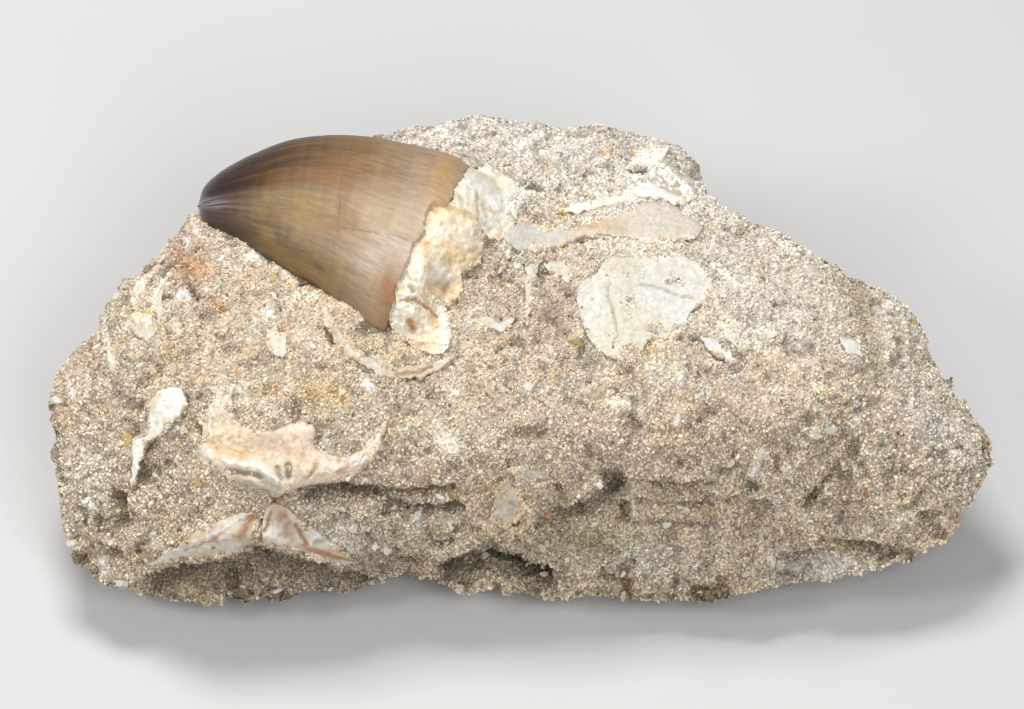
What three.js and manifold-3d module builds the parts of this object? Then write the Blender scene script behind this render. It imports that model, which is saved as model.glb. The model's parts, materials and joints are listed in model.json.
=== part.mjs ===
// A mosasaur tooth in its rock: the enamelled crown and what is left of its root lie in a loose block of
// sandy phosphate rock, with broken pieces of fossil bone in the same face. Millimetres, +Z up. The block
// lies on its flat underside with its length along X, and its display face looks up and towards -Y.

import * as THREE from "three";
import { mergeVertices } from "three/addons/utils/BufferGeometryUtils.js";
import Module from "manifold-3d";

const wasm = await Module();
wasm.setup();

// The face is laid out on a sloping map. A point on it is [across, up]: across runs along X and up runs up
// the slope. Depth is measured square to the map, into the block. place() gives such a point its X, Y and Z.
const MAP_SLOPE = THREE.MathUtils.degToRad(50);
const MAP_LIFT = 16.9;
const MIDDLE_ACROSS = 1.05;
const MIDDLE_Y = 1.879;
const SLOPE_SIN = Math.sin(MAP_SLOPE);
const SLOPE_COS = Math.cos(MAP_SLOPE);

// The block's outline on the map, left end to right end, along its upper and its lower edge.
const UPPER_EDGE = [
  [-69.1, -8], [-67.7, -2.6], [-65.6, 0.4], [-61.6, 3.7], [-60.4, 7], [-58.1, 11.2], [-55, 12.4],
  [-53.2, 14.8], [-49.4, 19.4], [-47.3, 21.4], [-39.3, 24.1], [-31.8, 27.1], [-25.1, 30.4], [-21, 33.1],
  [-15.3, 34.3], [-9.3, 35.5], [-3.3, 36.1], [2.7, 34.9], [7.2, 34.3], [13.5, 34.8], [18.5, 33.3],
  [23.4, 32.2], [25.8, 31], [28.2, 28.5], [29.3, 25], [31.2, 22.4], [35, 20.5], [39.5, 18.4],
  [44.7, 14.9], [48.6, 13], [53.8, 10], [57.2, 8.5], [59.9, 6.5], [62, 3.1], [62.6, 0.4],
  [65, -3.8], [68, -8.3], [70.3, -12.2], [71.2, -15.1],
];
const LOWER_EDGE = [
  [-69.1, -8], [-68, -14.3], [-67.3, -20.3], [-66.4, -26.1], [-64.1, -30.9], [-61.1, -33.9],
  [-54.4, -36], [-45.3, -36.6], [-34.8, -35.8], [-25.8, -34.8], [-15, -32.8], [-10.8, -34],
  [-6.3, -36], [-1.8, -35.5], [7.2, -36], [16.2, -36.6], [25.2, -36.4], [35, -35.5],
  [43.2, -33.7], [52.6, -32.5], [56.8, -30.7], [64.3, -28], [66.4, -26.1], [66.5, -23.6],
  [68.8, -22.3], [70.3, -19.6], [71.2, -15.1],
];

// The broken faces that bound the block in front: the depth of each at the map's middle, and how much
// deeper it gets for each millimetre across and up.
const FACETS = [
  { level: -34.8, across: 0.02, up: 0.84 }, // the shelf on top
  { level: -34.5, across: -0.03, up: 0.35 }, // the display face
  { level: -49.3, across: 0.1, up: -0.65 }, // the steep front below it
  { level: -62, across: 0.55, up: 0.1 }, // the right shoulder
  { level: -60, across: -0.5, up: -0.05 }, // the left shoulder
];
const FACET_BLEND = 1.7;

// Where the front and the back of the block meet: a gently curved sheet through its outline.
const RIM = { level: -15.5, up: 0.26, bend: -0.0008, waviness: 2.4, wave: 11, shift: 20 };
const FRONT_ROUNDING = 8;
const BACK_ROUNDING = 9;
const UNDERSIDE_DROP = 14;
const BACK_LUMPS = 2.6;
const BACK_SHIFT = 40; // lets the back's lumps differ from the front's
const BACK_WALL_LEAN = 0.16;

// Hollows and lumps in the face: middle, half sizes across and up, and depth (a lump's is negative).
const HOLLOWS = [
  { at: [-39, -34], size: [13, 3.4], depth: 2 },
  { at: [12, -28], size: [7, 3], depth: 2.4 }, // the recess at the lower middle
  { at: [14.6, -17.9], size: [1.5, 1.7], depth: 3.6 },
  { at: [-57.6, -24.4], size: [1.7, 1.4], depth: 3 },
  { at: [-59, -26.2], size: [1.1, 1.6], depth: 2.4 },
  { at: [35.5, -19.4], size: [1.2, 1.1], depth: 2.6 },
  { at: [-26.4, 2.5], size: [1.5, 1.4], depth: 1.8 },
  { at: [13, 26.5], size: [2.2, 1.5], depth: 1.6 },
  { at: [27, 28.5], size: [3.6, 3], depth: 2.4 }, // the chipped corner behind
  { at: [45, -31.5], size: [6.5, 1.8], depth: -1 }, // the pale ledge at the lower right
  { at: [-4, 18], size: [8, 12], depth: -6 }, // the bank that the crown's base stands against
  { at: [-8, 17], size: [3.4, 7], depth: -3.4 },
  { at: [-50, 11], size: [5, 4], depth: -1.4 },
  { at: [40, 3], size: [12, 5], depth: -1.2 },
  { at: [-5, -12], size: [10, 4], depth: -1.3 },
];

// Crevices and ridges: a path on the map, half width, and depth (a ridge's is negative).
const FURROWS = [
  { path: [[47.7, -16.6], [43.2, -22.6]], width: 0.7, depth: 1.6 },
  { path: [[-11.7, -31.2], [-3.9, -27.2], [7.7, -24.1], [13.4, -20.5]], width: 1.9, depth: -2.3 },
  { path: [[-55, -28.5], [-40, -26.5], [-24, -30]], width: 1.7, depth: -1.8 },
  { path: [[-42, -16.5], [-34.5, -18.5], [-25, -16.5]], width: 2, depth: -1.2 },
];

// Ledges: the face steps back just below each path and comes out again over the reach.
const LEDGES = [
  {
    path: [
      [-56, -32.6], [-52.4, -31.2], [-49.2, -30.2], [-44.9, -29.9], [-41, -29.5], [-38.5, -28.4],
      [-36.3, -28], [-33.8, -28.8], [-30.6, -29.4], [-28.5, -30.3], [-25.8, -31.3], [-21.8, -31.9],
      [-18, -33],
    ],
    depth: 8,
    reach: 9,
  },
  {
    path: [
      [-33, -21], [-31.2, -20.3], [-28, -19.4], [-25, -19.1], [-21.3, -19.7], [-16.8, -20.9],
      [-10, -21.8], [-6, -22],
    ],
    depth: 3.4,
    reach: 1.9,
  },
  {
    path: [
      [-12, -31.2], [-10, -30.2], [-7.1, -29.2], [-3.3, -28.2], [0.5, -28.9], [5, -31], [8, -32.6],
    ],
    depth: 9,
    reach: 4.5,
  },
  {
    path: [
      [-2, -28.6], [0, -27.6], [4.2, -26], [8, -23], [12, -19.6], [15.5, -17.8], [20, -17.8],
      [26, -19], [33, -20.6], [40, -22.5],
    ],
    depth: 3,
    reach: 6.5,
  },
  { path: [[37, -29.6], [41, -28.9], [45.5, -28.1], [52.3, -28.1], [57, -29]], depth: 2.2, reach: 2.4 },
];
const LEDGE_STEP = 0.9;
const LEDGE_ENDS = 3;

const LUMPS = [
  { span: 13, height: 1.3 },
  { span: 5.5, height: 0.6 },
];

// The crown's outline on the map, tip to base, along its convex upper side and where it meets the rock.
const CROWN_UPPER = [
  [-47.3, 22.3], [-46.4, 25.2], [-44.6, 27], [-41.6, 28.9], [-37.8, 30.7], [-34.1, 32.1], [-30.3, 32.8],
  [-25.8, 33], [-21.3, 32.7], [-16.8, 31.9], [-12.3, 30.9], [-9.3, 30], [-6.3, 28.2],
];
const CROWN_LOWER = [
  [-47.3, 22.3], [-46.4, 20], [-43.8, 18.2], [-40.8, 16.3], [-36.3, 13], [-31.8, 9.5], [-27.3, 6.2],
  [-22.8, 3.2], [-18.2, 1],
];
const CROWN_ARCH = 0.7; // its height over the shelf and its depth in the rock, as shares of its half width
const CROWN_BURIED = 0.35;
const CROWN_RISE = 0.6; // how far its front foot stands out of the rock, where it is at least this wide
const CROWN_RISE_SPAN = 8;
const CROWN_BASE_BULGE = 1.4;

// The pieces of bone, each an outline of two edges between the same two ends, with how far it stands out of
// the rock and how deep it goes in.
const BONES = {
  root_white_bone: {
    upper: [[-5.7, 27.7], [-3.6, 28], [-1.5, 27], [0.6, 25.8], [1.5, 24.5]],
    lower: [
      [-5.7, 27.7], [-5.3, 25], [-4.9, 22.3], [-3.9, 19.7], [-2.3, 18.6], [-0.6, 19.3], [0.8, 22.1],
      [1.5, 24.5],
    ],
    out: 3.8, into: 2.5,
  },
  root_spongy_bone: {
    upper: [[-13.2, 11.8], [-12.3, 15.4], [-10.8, 18.7], [-8.6, 21.1], [-6.9, 22], [-5.3, 19.9]],
    lower: [[-13.2, 11.8], [-12, 9.2], [-9.8, 8.3], [-7.8, 9.4], [-6.9, 12.7], [-5.4, 15.7], [-5.3, 19.9]],
    out: 4.6, into: 3,
  },
  root_cellular_bone: {
    upper: [
      [-16.7, 8.2], [-15.6, 10.7], [-14.1, 12.7], [-13.2, 10.1], [-11.1, 7.9], [-9, 5.5], [-8.6, 2.9],
    ],
    lower: [[-16.7, 8.2], [-16.8, 5.5], [-16.2, 2.9], [-14.4, 1.6], [-12, 0.5], [-9.9, 1], [-8.6, 2.9]],
    out: 4, into: 3,
  },
  bone_plate: {
    upper: [
      [9.2, 11.2], [11, 13.3], [15, 14.2], [21, 14.2], [24.9, 15.1], [26.7, 14.2], [28.5, 12.7],
      [30, 8.9],
    ],
    lower: [
      [9.2, 11.2], [9.6, 8.2], [10.5, 4.9], [12, 1.4], [13.7, -0.2], [19.2, 0.8], [20.7, 2.2],
      [24, 2.6], [26.7, 6.4], [30, 8.9],
    ],
    out: 0.9, into: 1.6,
  },
  bone_wedge: {
    upper: [[5.1, 13], [6.8, 13.6], [9, 14]],
    lower: [[5.1, 13], [6.2, 11.9], [7.7, 11], [8.7, 11.8], [9, 14]],
    out: 0.7, into: 1.4,
  },
  bone_corner_strip: {
    upper: [[2.1, 4.1], [2, 8.2], [2, 11.8], [2.3, 14], [4.7, 14]],
    lower: [[2.1, 4.1], [2.9, 8.2], [3.2, 11.2], [3.6, 12.5], [4.7, 14]],
    out: 0.7, into: 1.4,
  },
  bone_spatula: {
    upper: [
      [-1.5, 17.9], [0, 19.1], [6.8, 19], [10.2, 19.4], [13.7, 20.6], [19.2, 22.7], [23, 22.7],
      [25.5, 21.8], [27.8, 20.3], [28.8, 19],
    ],
    lower: [
      [-1.5, 17.9], [-0.9, 16.7], [0.6, 15.8], [6.8, 16.1], [11, 17.5], [16.8, 17.5], [23, 16.9],
      [25.5, 17.2], [27.8, 17.8], [28.8, 19],
    ],
    out: 1.6, into: 2,
  },
  bone_blade: {
    upper: [
      [6.8, 21.8], [11.7, 23.2], [17.1, 24.7], [19.5, 25.8], [22.2, 25.5], [24.9, 24.5], [26.7, 23.2],
    ],
    lower: [
      [6.8, 21.8], [9.5, 21.2], [14.7, 22.3], [19.2, 23.6], [22.2, 23.3], [25.2, 22.7], [26.7, 23.2],
    ],
    out: 1.3, into: 1.5,
  },
  bone_crest: {
    upper: [[17.3, 28.2], [20, 30.4], [22.5, 31.9], [24, 31.6]],
    lower: [[17.3, 28.2], [19.2, 27.9], [21.5, 28.3], [23.4, 29.8], [24, 31.6]],
    out: 1.2, into: 1.6,
  },
  bone_curved_edge: {
    upper: [
      [-29.1, 8.6], [-26.7, 6.4], [-24.9, 3.4], [-22.5, 0.7], [-19.1, -1.2], [-15.3, -1.7],
      [-11.4, -1], [-8.6, -0.3],
    ],
    lower: [
      [-29.1, 8.6], [-27.9, 5.5], [-26.1, 1.9], [-24, -0.2], [-20.6, -2.6], [-16.1, -3.5],
      [-11.4, -2.8], [-8.6, -0.3],
    ],
    out: 1.1, into: 1.5,
  },
  jaw_bone: {
    upper: [
      [-40.8, -4.3], [-41.4, -6.8], [-40.4, -9.5], [-38.3, -10.9], [-35.9, -11.3], [-30.9, -9.8],
      [-29.3, -10.3], [-28.5, -13.6], [-25.8, -15.1], [-23.4, -14.6], [-21.3, -13.1], [-18.5, -9.8],
    ],
    lower: [
      [-40.8, -4.3], [-43.5, -6.2], [-45, -9.1], [-45.2, -12.2], [-46.4, -15.1], [-43.8, -17],
      [-37.5, -19.7], [-34.5, -20.8], [-31.8, -19.7], [-23.6, -17.8], [-21.3, -16.1], [-19.8, -14],
      [-18.5, -9.8],
    ],
    out: 1.8, into: 2.4,
  },
  lower_bone_left_wing: {
    upper: [
      [-55.1, -31.6], [-51.8, -29.5], [-48.9, -27.9], [-46.8, -26.2], [-43.5, -24.5], [-40.1, -23.5],
      [-37.5, -23.3],
    ],
    lower: [
      [-55.1, -31.6], [-52.4, -30.6], [-49.2, -29.7], [-44.9, -29.4], [-41.7, -29.2], [-39.3, -28],
      [-37.5, -23.3],
    ],
    out: 1.3, into: 2,
  },
  lower_bone_right_wing: {
    upper: [
      [-36.8, -25.2], [-36, -22.4], [-34.5, -21.8], [-32.6, -22.9], [-30.6, -24.5], [-27.9, -26.4],
      [-25.4, -28.5], [-21.8, -30.6],
    ],
    lower: [
      [-36.8, -25.2], [-36.3, -27.4], [-33.8, -28.2], [-30.6, -28.8], [-28.5, -29.7], [-25.8, -30.7],
      [-21.8, -30.6],
    ],
    out: 1.3, into: 2,
  },
  bone_splinter: {
    upper: [
      [-49.8, -4.9], [-52.1, -5.6], [-53.8, -8.6], [-54.1, -10.9], [-55.9, -12.2], [-56.3, -16.6],
      [-56.5, -19.7],
    ],
    lower: [
      [-49.8, -4.9], [-48.5, -6.4], [-50.5, -8], [-51.5, -10.6], [-54.2, -12.5], [-55, -16],
      [-56.5, -19.7],
    ],
    out: 1, into: 1.3,
  },
  bone_edge_strip: {
    upper: [[-51.5, 11.8], [-52.9, 10], [-53.4, 7.7], [-52, 4.9]],
    lower: [[-51.5, 11.8], [-51.7, 10.1], [-51.9, 7.6], [-52, 4.9]],
    out: 0.8, into: 1.3,
  },
  shard_middle: {
    upper: [[-6.3, 5], [-3.3, 5.6], [0.5, 5.3]],
    lower: [[-6.3, 5], [-3.6, 3.8], [-1.2, 3.5], [0.5, 5.3]],
    out: 0.7, into: 1.2,
  },
  shard_thick: {
    upper: [[27.8, 2.8], [30, 2.3], [32, 1], [33.5, -1.3]],
    lower: [[27.8, 2.8], [29.1, 0.5], [31.2, -0.7], [33.5, -1.3]],
    out: 1, into: 1.2,
  },
  shard_thin: {
    upper: [[30, 5.6], [31.7, 4.7], [33.2, 2.6], [33.8, 0.4]],
    lower: [[30, 5.6], [30.6, 3.9], [32, 2], [33.8, 0.4]],
    out: 0.8, into: 1.2,
  },
  flake_upper_right: {
    upper: [[41.7, 12.4], [43.2, 13.4], [45.5, 13], [47.4, 11.2]],
    lower: [[41.7, 12.4], [43.7, 11.8], [45.6, 10.6], [47.4, 11.2]],
    out: 0.8, into: 1.2,
  },
  shard_right: {
    upper: [[48.2, 2.6], [50.4, 2.2], [52, -0.4]],
    lower: [[48.2, 2.6], [49.3, 0.4], [52, -0.4]],
    out: 0.9, into: 1.2,
  },
  flake_lower_middle: {
    upper: [[-1.1, -16.7], [1.5, -16.5], [3.9, -17.1], [6.3, -18.5]],
    lower: [[-1.1, -16.7], [1.7, -18.4], [4.4, -19.3], [6.3, -18.5]],
    out: 0.8, into: 1.2,
  },
  orange_bone: {
    upper: [[-3.2, -24.7], [-2.6, -21.5], [-1.8, -18.5], [0, -19.4], [1.4, -21.2], [2, -23]],
    lower: [[-3.2, -24.7], [-1.2, -25.5], [0.6, -24.7], [2, -23]],
    out: 1.1, into: 1.5,
  },
};
const BONE_BELLY = 0.54; // a bone's section bulges a little past half its width, so its edges are steep
const CLEARANCE = 0.35;
const POCKET_OPENING = 6;

// How finely each solid is faceted.
const ROCK_STATIONS = 37;
const ROCK_FRONT_ROWS = 21;
const ROCK_BACK_ROWS = 9;
const CROWN_STATIONS = 15;
const CROWN_SIDES = 18;
const BONE_STATIONS = 8;
const BONE_SIDES = 8;

// How far the rock's stations and rows crowd towards its outline: 0 is even, 1 is as on a half circle.
const STATION_CROWDING = 0.55;
const ROW_CROWDING = 0.6;

const LOOKS = {
  rock: { color: 0xb3a187, roughness: 0.95, metalness: 0 },
  enamel: { color: 0x8a6a4c, roughness: 0.28, metalness: 0 },
  bone: { color: 0xe9e2cc, roughness: 0.75, metalness: 0 },
  stained_bone: { color: 0xd9b878, roughness: 0.8, metalness: 0 },
};
const STAINED = ["root_spongy_bone", "jaw_bone", "orange_bone", "flake_lower_middle"];

function place(across, up, deep) {
  const lifted = up + MAP_LIFT;
  return [
    across - MIDDLE_ACROSS,
    lifted * SLOPE_SIN + deep * SLOPE_COS - MIDDLE_Y,
    lifted * SLOPE_COS - deep * SLOPE_SIN,
  ];
}

function between(low, high, share) {
  return low + (high - low) * share;
}

function heightOfEdge(edge, across) {
  const next = Math.max(1, edge.findIndex((point) => point[0] >= across));
  const [from, to] = [edge[next - 1], edge[next]];
  return between(from[1], to[1], (across - from[0]) / (to[0] - from[0]));
}

function distanceToPath(path, across, up) {
  let nearest = Infinity;
  for (let i = 1; i < path.length; i++) {
    const [x0, y0] = path[i - 1];
    const [dx, dy] = [path[i][0] - x0, path[i][1] - y0];
    const along = ((across - x0) * dx + (up - y0) * dy) / (dx * dx + dy * dy);
    const share = THREE.MathUtils.clamp(along, 0, 1);
    nearest = Math.min(nearest, Math.hypot(across - x0 - dx * share, up - y0 - dy * share));
  }
  return nearest;
}

// A repeatable random number between -1 and 1 for each point of a square lattice.
function latticeValue(column, row) {
  const spread = Math.sin(column * 127.1 + row * 311.7) * 43758.5453;
  return 2 * (spread - Math.floor(spread)) - 1;
}

function lumpiness(across, up) {
  const column = Math.floor(across);
  const row = Math.floor(up);
  const sx = THREE.MathUtils.smoothstep(across - column, 0, 1);
  const sy = THREE.MathUtils.smoothstep(up - row, 0, 1);
  const below = between(latticeValue(column, row), latticeValue(column + 1, row), sx);
  const above = between(latticeValue(column, row + 1), latticeValue(column + 1, row + 1), sx);
  return between(below, above, sy);
}

function rimDepth(across, up) {
  const wave = RIM.waviness * lumpiness(across / RIM.wave, up / RIM.wave + RIM.shift);
  return RIM.level + RIM.up * up + RIM.bend * across * across + wave;
}

// A quarter circle: 0 at the outline, 1 from the given distance inwards.
function roundedShare(distance, radius) {
  const left = 1 - Math.min(1, distance / radius);
  return Math.sqrt(1 - left * left);
}

function outlineDistance(across, up) {
  return Math.min(distanceToPath(UPPER_EDGE, across, up), distanceToPath(LOWER_EDGE, across, up));
}

// 1 just below the path, 0 above it and fading away below it and towards both of its ends.
function ledgeShare(path, reach, across, up) {
  const [left, right] = [path[0][0], path.at(-1)[0]];
  const within = THREE.MathUtils.clamp(across, left + 1e-6, right);
  const below = heightOfEdge(path, within) - up;
  const starts = THREE.MathUtils.smoothstep(across, left, left + LEDGE_ENDS);
  const stops = 1 - THREE.MathUtils.smoothstep(across, right - LEDGE_ENDS, right);
  const step = THREE.MathUtils.smoothstep(below, 0, LEDGE_STEP);
  return starts * stops * step * Math.exp(-((Math.max(below, 0) / reach) ** 2));
}

function frontDepth(across, up) {
  const depths = FACETS.map((facet) => facet.level + facet.across * across + facet.up * up);
  const sum = depths.reduce((total, depth) => total + Math.exp(depth / FACET_BLEND), 0);
  let depth = Math.log(sum) * FACET_BLEND;
  for (const { at, size, depth: dent } of HOLLOWS) {
    const reach = ((across - at[0]) / size[0]) ** 2 + ((up - at[1]) / size[1]) ** 2;
    depth += dent * Math.exp(-reach);
  }
  for (const { path, width, depth: dent } of FURROWS) {
    depth += dent * Math.exp(-((distanceToPath(path, across, up) / width) ** 2));
  }
  for (const { path, depth: dent, reach } of LEDGES) {
    depth += dent * ledgeShare(path, reach, across, up);
  }
  for (const { span, height } of LUMPS) {
    depth += height * lumpiness(across / span, up / span);
  }
  const rim = rimDepth(across, up);
  return rim + (depth - rim) * roundedShare(outlineDistance(across, up), FRONT_ROUNDING);
}

// The hidden side: a nearly upright back wall and the underside, which is flat where it rests at Z = 0.
function backDepth(across, up) {
  const top = heightOfEdge(UPPER_EDGE, across);
  const [, rimY, rimZ] = place(across, top, rimDepth(across, top));
  const wallLine = rimY + MIDDLE_Y - BACK_WALL_LEAN * rimZ;
  const lifted = up + MAP_LIFT;
  const wall =
    (wallLine - lifted * (SLOPE_SIN - BACK_WALL_LEAN * SLOPE_COS)) /
    (SLOPE_COS + BACK_WALL_LEAN * SLOPE_SIN);
  const underside = (lifted * SLOPE_COS + UNDERSIDE_DROP) / SLOPE_SIN;
  const lumps = BACK_LUMPS * lumpiness(across / LUMPS[0].span + BACK_SHIFT, up / LUMPS[0].span);
  const rim = rimDepth(across, up);
  const share = roundedShare(outlineDistance(across, up), BACK_ROUNDING);
  const depth = rim + (Math.max(rim, Math.min(wall, underside)) + lumps - rim) * share;
  return Math.min(depth, (lifted * SLOPE_COS) / SLOPE_SIN);
}

// Closes rings of points, all with the same number of points, and a point at each end into one solid.
function solidFromRings(rings, first, last) {
  const points = [first, ...rings.flat(), last];
  const sides = rings[0].length;
  const faces = [];
  const at = (ring, side) => 1 + ring * sides + (side % sides);
  for (let side = 0; side < sides; side++) {
    faces.push([0, at(0, side + 1), at(0, side)]);
    faces.push([points.length - 1, at(rings.length - 1, side), at(rings.length - 1, side + 1)]);
    for (let ring = 1; ring < rings.length; ring++) {
      const [a, b] = [at(ring - 1, side), at(ring - 1, side + 1)];
      const [c, d] = [at(ring, side), at(ring, side + 1)];
      faces.push([a, b, c], [b, d, c]);
    }
  }
  const geometry = new THREE.BufferGeometry();
  geometry.setAttribute("position", new THREE.Float32BufferAttribute(points.flat(), 3));
  geometry.setIndex(faces.flat());
  return solidFromGeometry(geometry);
}

function solidFromGeometry(geometry) {
  geometry.deleteAttribute("normal");
  geometry.deleteAttribute("uv");
  const merged = mergeVertices(geometry, 1e-4);
  const make = (triVerts) =>
    new wasm.Manifold(
      new wasm.Mesh({ numProp: 3, vertProperties: merged.attributes.position.array, triVerts }),
    );
  const corners = new Uint32Array(merged.index.array);
  const solid = make(corners);
  return solid.volume() > 0 ? solid : make(corners.reverse());
}

function blockSolid() {
  const [left, right] = [UPPER_EDGE[0], UPPER_EDGE.at(-1)];
  const rings = [];
  for (let station = 1; station < ROCK_STATIONS; station++) {
    const turn = (Math.PI * station) / ROCK_STATIONS;
    const even = station / ROCK_STATIONS;
    const across = between(left[0], right[0], between(even, (1 - Math.cos(turn)) / 2, STATION_CROWDING));
    const top = heightOfEdge(UPPER_EDGE, across);
    const bottom = heightOfEdge(LOWER_EDGE, across);
    const spread = (share) => between(share, (1 - Math.cos(Math.PI * share)) / 2, ROW_CROWDING);
    const ring = [];
    for (let row = 0; row < ROCK_FRONT_ROWS; row++) {
      const up = between(bottom, top, spread(row / ROCK_FRONT_ROWS));
      ring.push(place(across, up, frontDepth(across, up)));
    }
    for (let row = 0; row < ROCK_BACK_ROWS; row++) {
      const up = between(top, bottom, spread(row / ROCK_BACK_ROWS));
      ring.push(place(across, up, backDepth(across, up)));
    }
    rings.push(ring);
  }
  const end = (point) => place(...point, rimDepth(...point));
  return solidFromRings(rings, end(left), end(right));
}

// An even number of steps along a path, as points.
function stepsAlong(path, steps) {
  const curve = new THREE.CurvePath();
  for (let i = 1; i < path.length; i++) {
    curve.add(new THREE.LineCurve(new THREE.Vector2(...path[i - 1]), new THREE.Vector2(...path[i])));
  }
  return curve.getSpacedPoints(steps);
}

// The crown as oval sections from tip to base, lying on the rock's shelf. Each section's front foot is on
// the lower outline and the far side of its arch shows at the upper one. grow makes it larger all round.
function crownSolid(grow = 0, opening = 0) {
  const upper = stepsAlong(CROWN_UPPER, CROWN_STATIONS);
  const lower = stepsAlong(CROWN_LOWER, CROWN_STATIONS);
  const section = (station) => {
    const span = upper[station].distanceTo(lower[station]);
    const side = upper[station].clone().sub(lower[station]).normalize();
    const halfWidth = span / (SLOPE_SIN + Math.hypot(SLOPE_SIN, CROWN_ARCH * SLOPE_COS));
    const centre = lower[station].clone().addScaledVector(side, halfWidth * SLOPE_SIN);
    const rise = CROWN_RISE * Math.min(1, span / CROWN_RISE_SPAN);
    const foot = frontDepth(lower[station].x, lower[station].y) - rise;
    return { side, halfWidth, centre, deep: foot + halfWidth * SLOPE_COS };
  };
  const sections = [];
  for (let station = 1; station <= CROWN_STATIONS; station++) {
    sections.push(section(station));
  }
  const rings = sections.map(({ side, halfWidth, centre, deep }) => {
    const ring = [];
    for (let step = 0; step < CROWN_SIDES; step++) {
      const turn = (2 * Math.PI * step) / CROWN_SIDES;
      const arch = Math.sin(turn) > 0 ? CROWN_ARCH : CROWN_BURIED;
      const away = -Math.cos(turn) * (halfWidth + grow);
      const lift = Math.sin(turn) * (halfWidth * arch + grow) + (Math.sin(turn) > 0.1 ? opening : 0);
      const out = away * SLOPE_SIN + lift * SLOPE_COS;
      const depth = deep + away * SLOPE_COS - lift * SLOPE_SIN;
      ring.push(place(centre.x + side.x * out, centre.y + side.y * out, depth));
    }
    return ring;
  });
  const tip = CROWN_UPPER[0];
  const tipDeep = frontDepth(...CROWN_LOWER[1]) - CROWN_RISE;
  const base = sections.at(-1);
  const reach = CROWN_BASE_BULGE + grow;
  return solidFromRings(
    rings,
    place(tip[0] - grow, tip[1], tipDeep - opening / 2),
    place(base.centre.x + base.side.y * reach, base.centre.y - base.side.x * reach, base.deep),
  );
}

// Moves both edges of an outline outwards. They run between the same two ends.
function grownEdges(upper, lower, grow) {
  const loop = [...upper, ...lower.slice(1, -1).reverse()];
  const outwards = Math.sign(THREE.ShapeUtils.area(loop)) * grow;
  const grown = loop.map((point, index) => {
    const before = loop.at(index - 1);
    const after = loop[(index + 1) % loop.length];
    const square = new THREE.Vector2(after.y - before.y, before.x - after.x).normalize();
    return point.clone().addScaledVector(square, outwards);
  });
  const far = upper.length;
  return [grown.slice(0, far), [grown[0], ...grown.slice(far).reverse(), grown[far - 1]]];
}

// A piece of bone as rounded sections between its two edges, following the rock's surface. A grown piece
// keeps the depths of the plain one, so that it holds the plain one whole.
function boneSolid({ upper, lower, out, into }, grow = 0, opening = 0) {
  const plainEdges = [stepsAlong(upper, BONE_STATIONS), stepsAlong(lower, BONE_STATIONS)];
  const edges = grownEdges(...plainEdges, grow);
  const rings = [];
  for (let station = 1; station < BONE_STATIONS; station++) {
    const [plainHigh, plainLow] = plainEdges.map((edge) => edge[station]);
    const [high, low] = edges.map((edge) => edge[station]);
    const ring = [];
    for (let step = 0; step < BONE_SIDES; step++) {
      const turn = (2 * Math.PI * (step + 0.5)) / BONE_SIDES;
      const share = THREE.MathUtils.clamp(0.5 - BONE_BELLY * Math.cos(turn), 0, 1);
      const plain = plainLow.clone().lerp(plainHigh, share);
      const spot = low.clone().lerp(high, share);
      const lift = Math.sin(turn) > 0 ? out * Math.sin(turn) + opening : into * Math.sin(turn);
      ring.push(place(spot.x, spot.y, frontDepth(plain.x, plain.y) - lift - Math.sin(turn) * grow));
    }
    rings.push(ring);
  }
  const end = (station) => {
    const [plain, spot] = [plainEdges[0][station], edges[0][station]];
    return place(spot.x, spot.y, frontDepth(plain.x, plain.y) - (out - into + opening) / 2);
  };
  return solidFromRings(rings, end(0), end(BONE_STATIONS));
}

function largestBody(solid) {
  const bodies = solid.decompose();
  return bodies.reduce((best, body) => (body.volume() > best.volume() ? body : best));
}

function meshOf(name, solid, look) {
  const { vertProperties, triVerts } = solid.getMesh();
  const geometry = new THREE.BufferGeometry();
  geometry.setAttribute("position", new THREE.BufferAttribute(vertProperties, 3));
  geometry.setIndex(new THREE.BufferAttribute(triVerts, 1));
  geometry.computeVertexNormals();
  const mesh = new THREE.Mesh(geometry, new THREE.MeshStandardMaterial(look));
  mesh.name = name;
  return mesh;
}

const specimen = new THREE.Group();
const crownPocket = crownSolid(CLEARANCE);
const neighbours = [crownPocket];
let rock = blockSolid().subtract(crownPocket.add(crownSolid(CLEARANCE, POCKET_OPENING)));
specimen.add(meshOf("tooth_crown", crownSolid(), LOOKS.enamel));

for (const [name, bone] of Object.entries(BONES)) {
  const whole = boneSolid(bone);
  let solid = whole;
  for (const neighbour of neighbours) {
    solid = solid.subtract(neighbour);
  }
  const look = STAINED.includes(name) ? LOOKS.stained_bone : LOOKS.bone;
  specimen.add(meshOf(name, largestBody(solid), look));
  const pocket = boneSolid(bone, CLEARANCE);
  neighbours.push(pocket);
  rock = rock.subtract(pocket.add(whole).add(boneSolid(bone, CLEARANCE, POCKET_OPENING)));
}
specimen.add(meshOf("rock_matrix", largestBody(rock), LOOKS.rock));

export default specimen;
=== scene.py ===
# %% [markdown]
# # A mosasaur tooth in its rock
# The object is a loose block of sandy phosphate rock, 140 mm long. A glossy brown tooth crown lies on its
# upper left, and broken pieces of fossil bone are set in the face. Every surface here is worked out with
# numpy as a function of two parameters, so that the shape can be read from its formula.

# %% Load the frame
import json
import math

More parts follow.
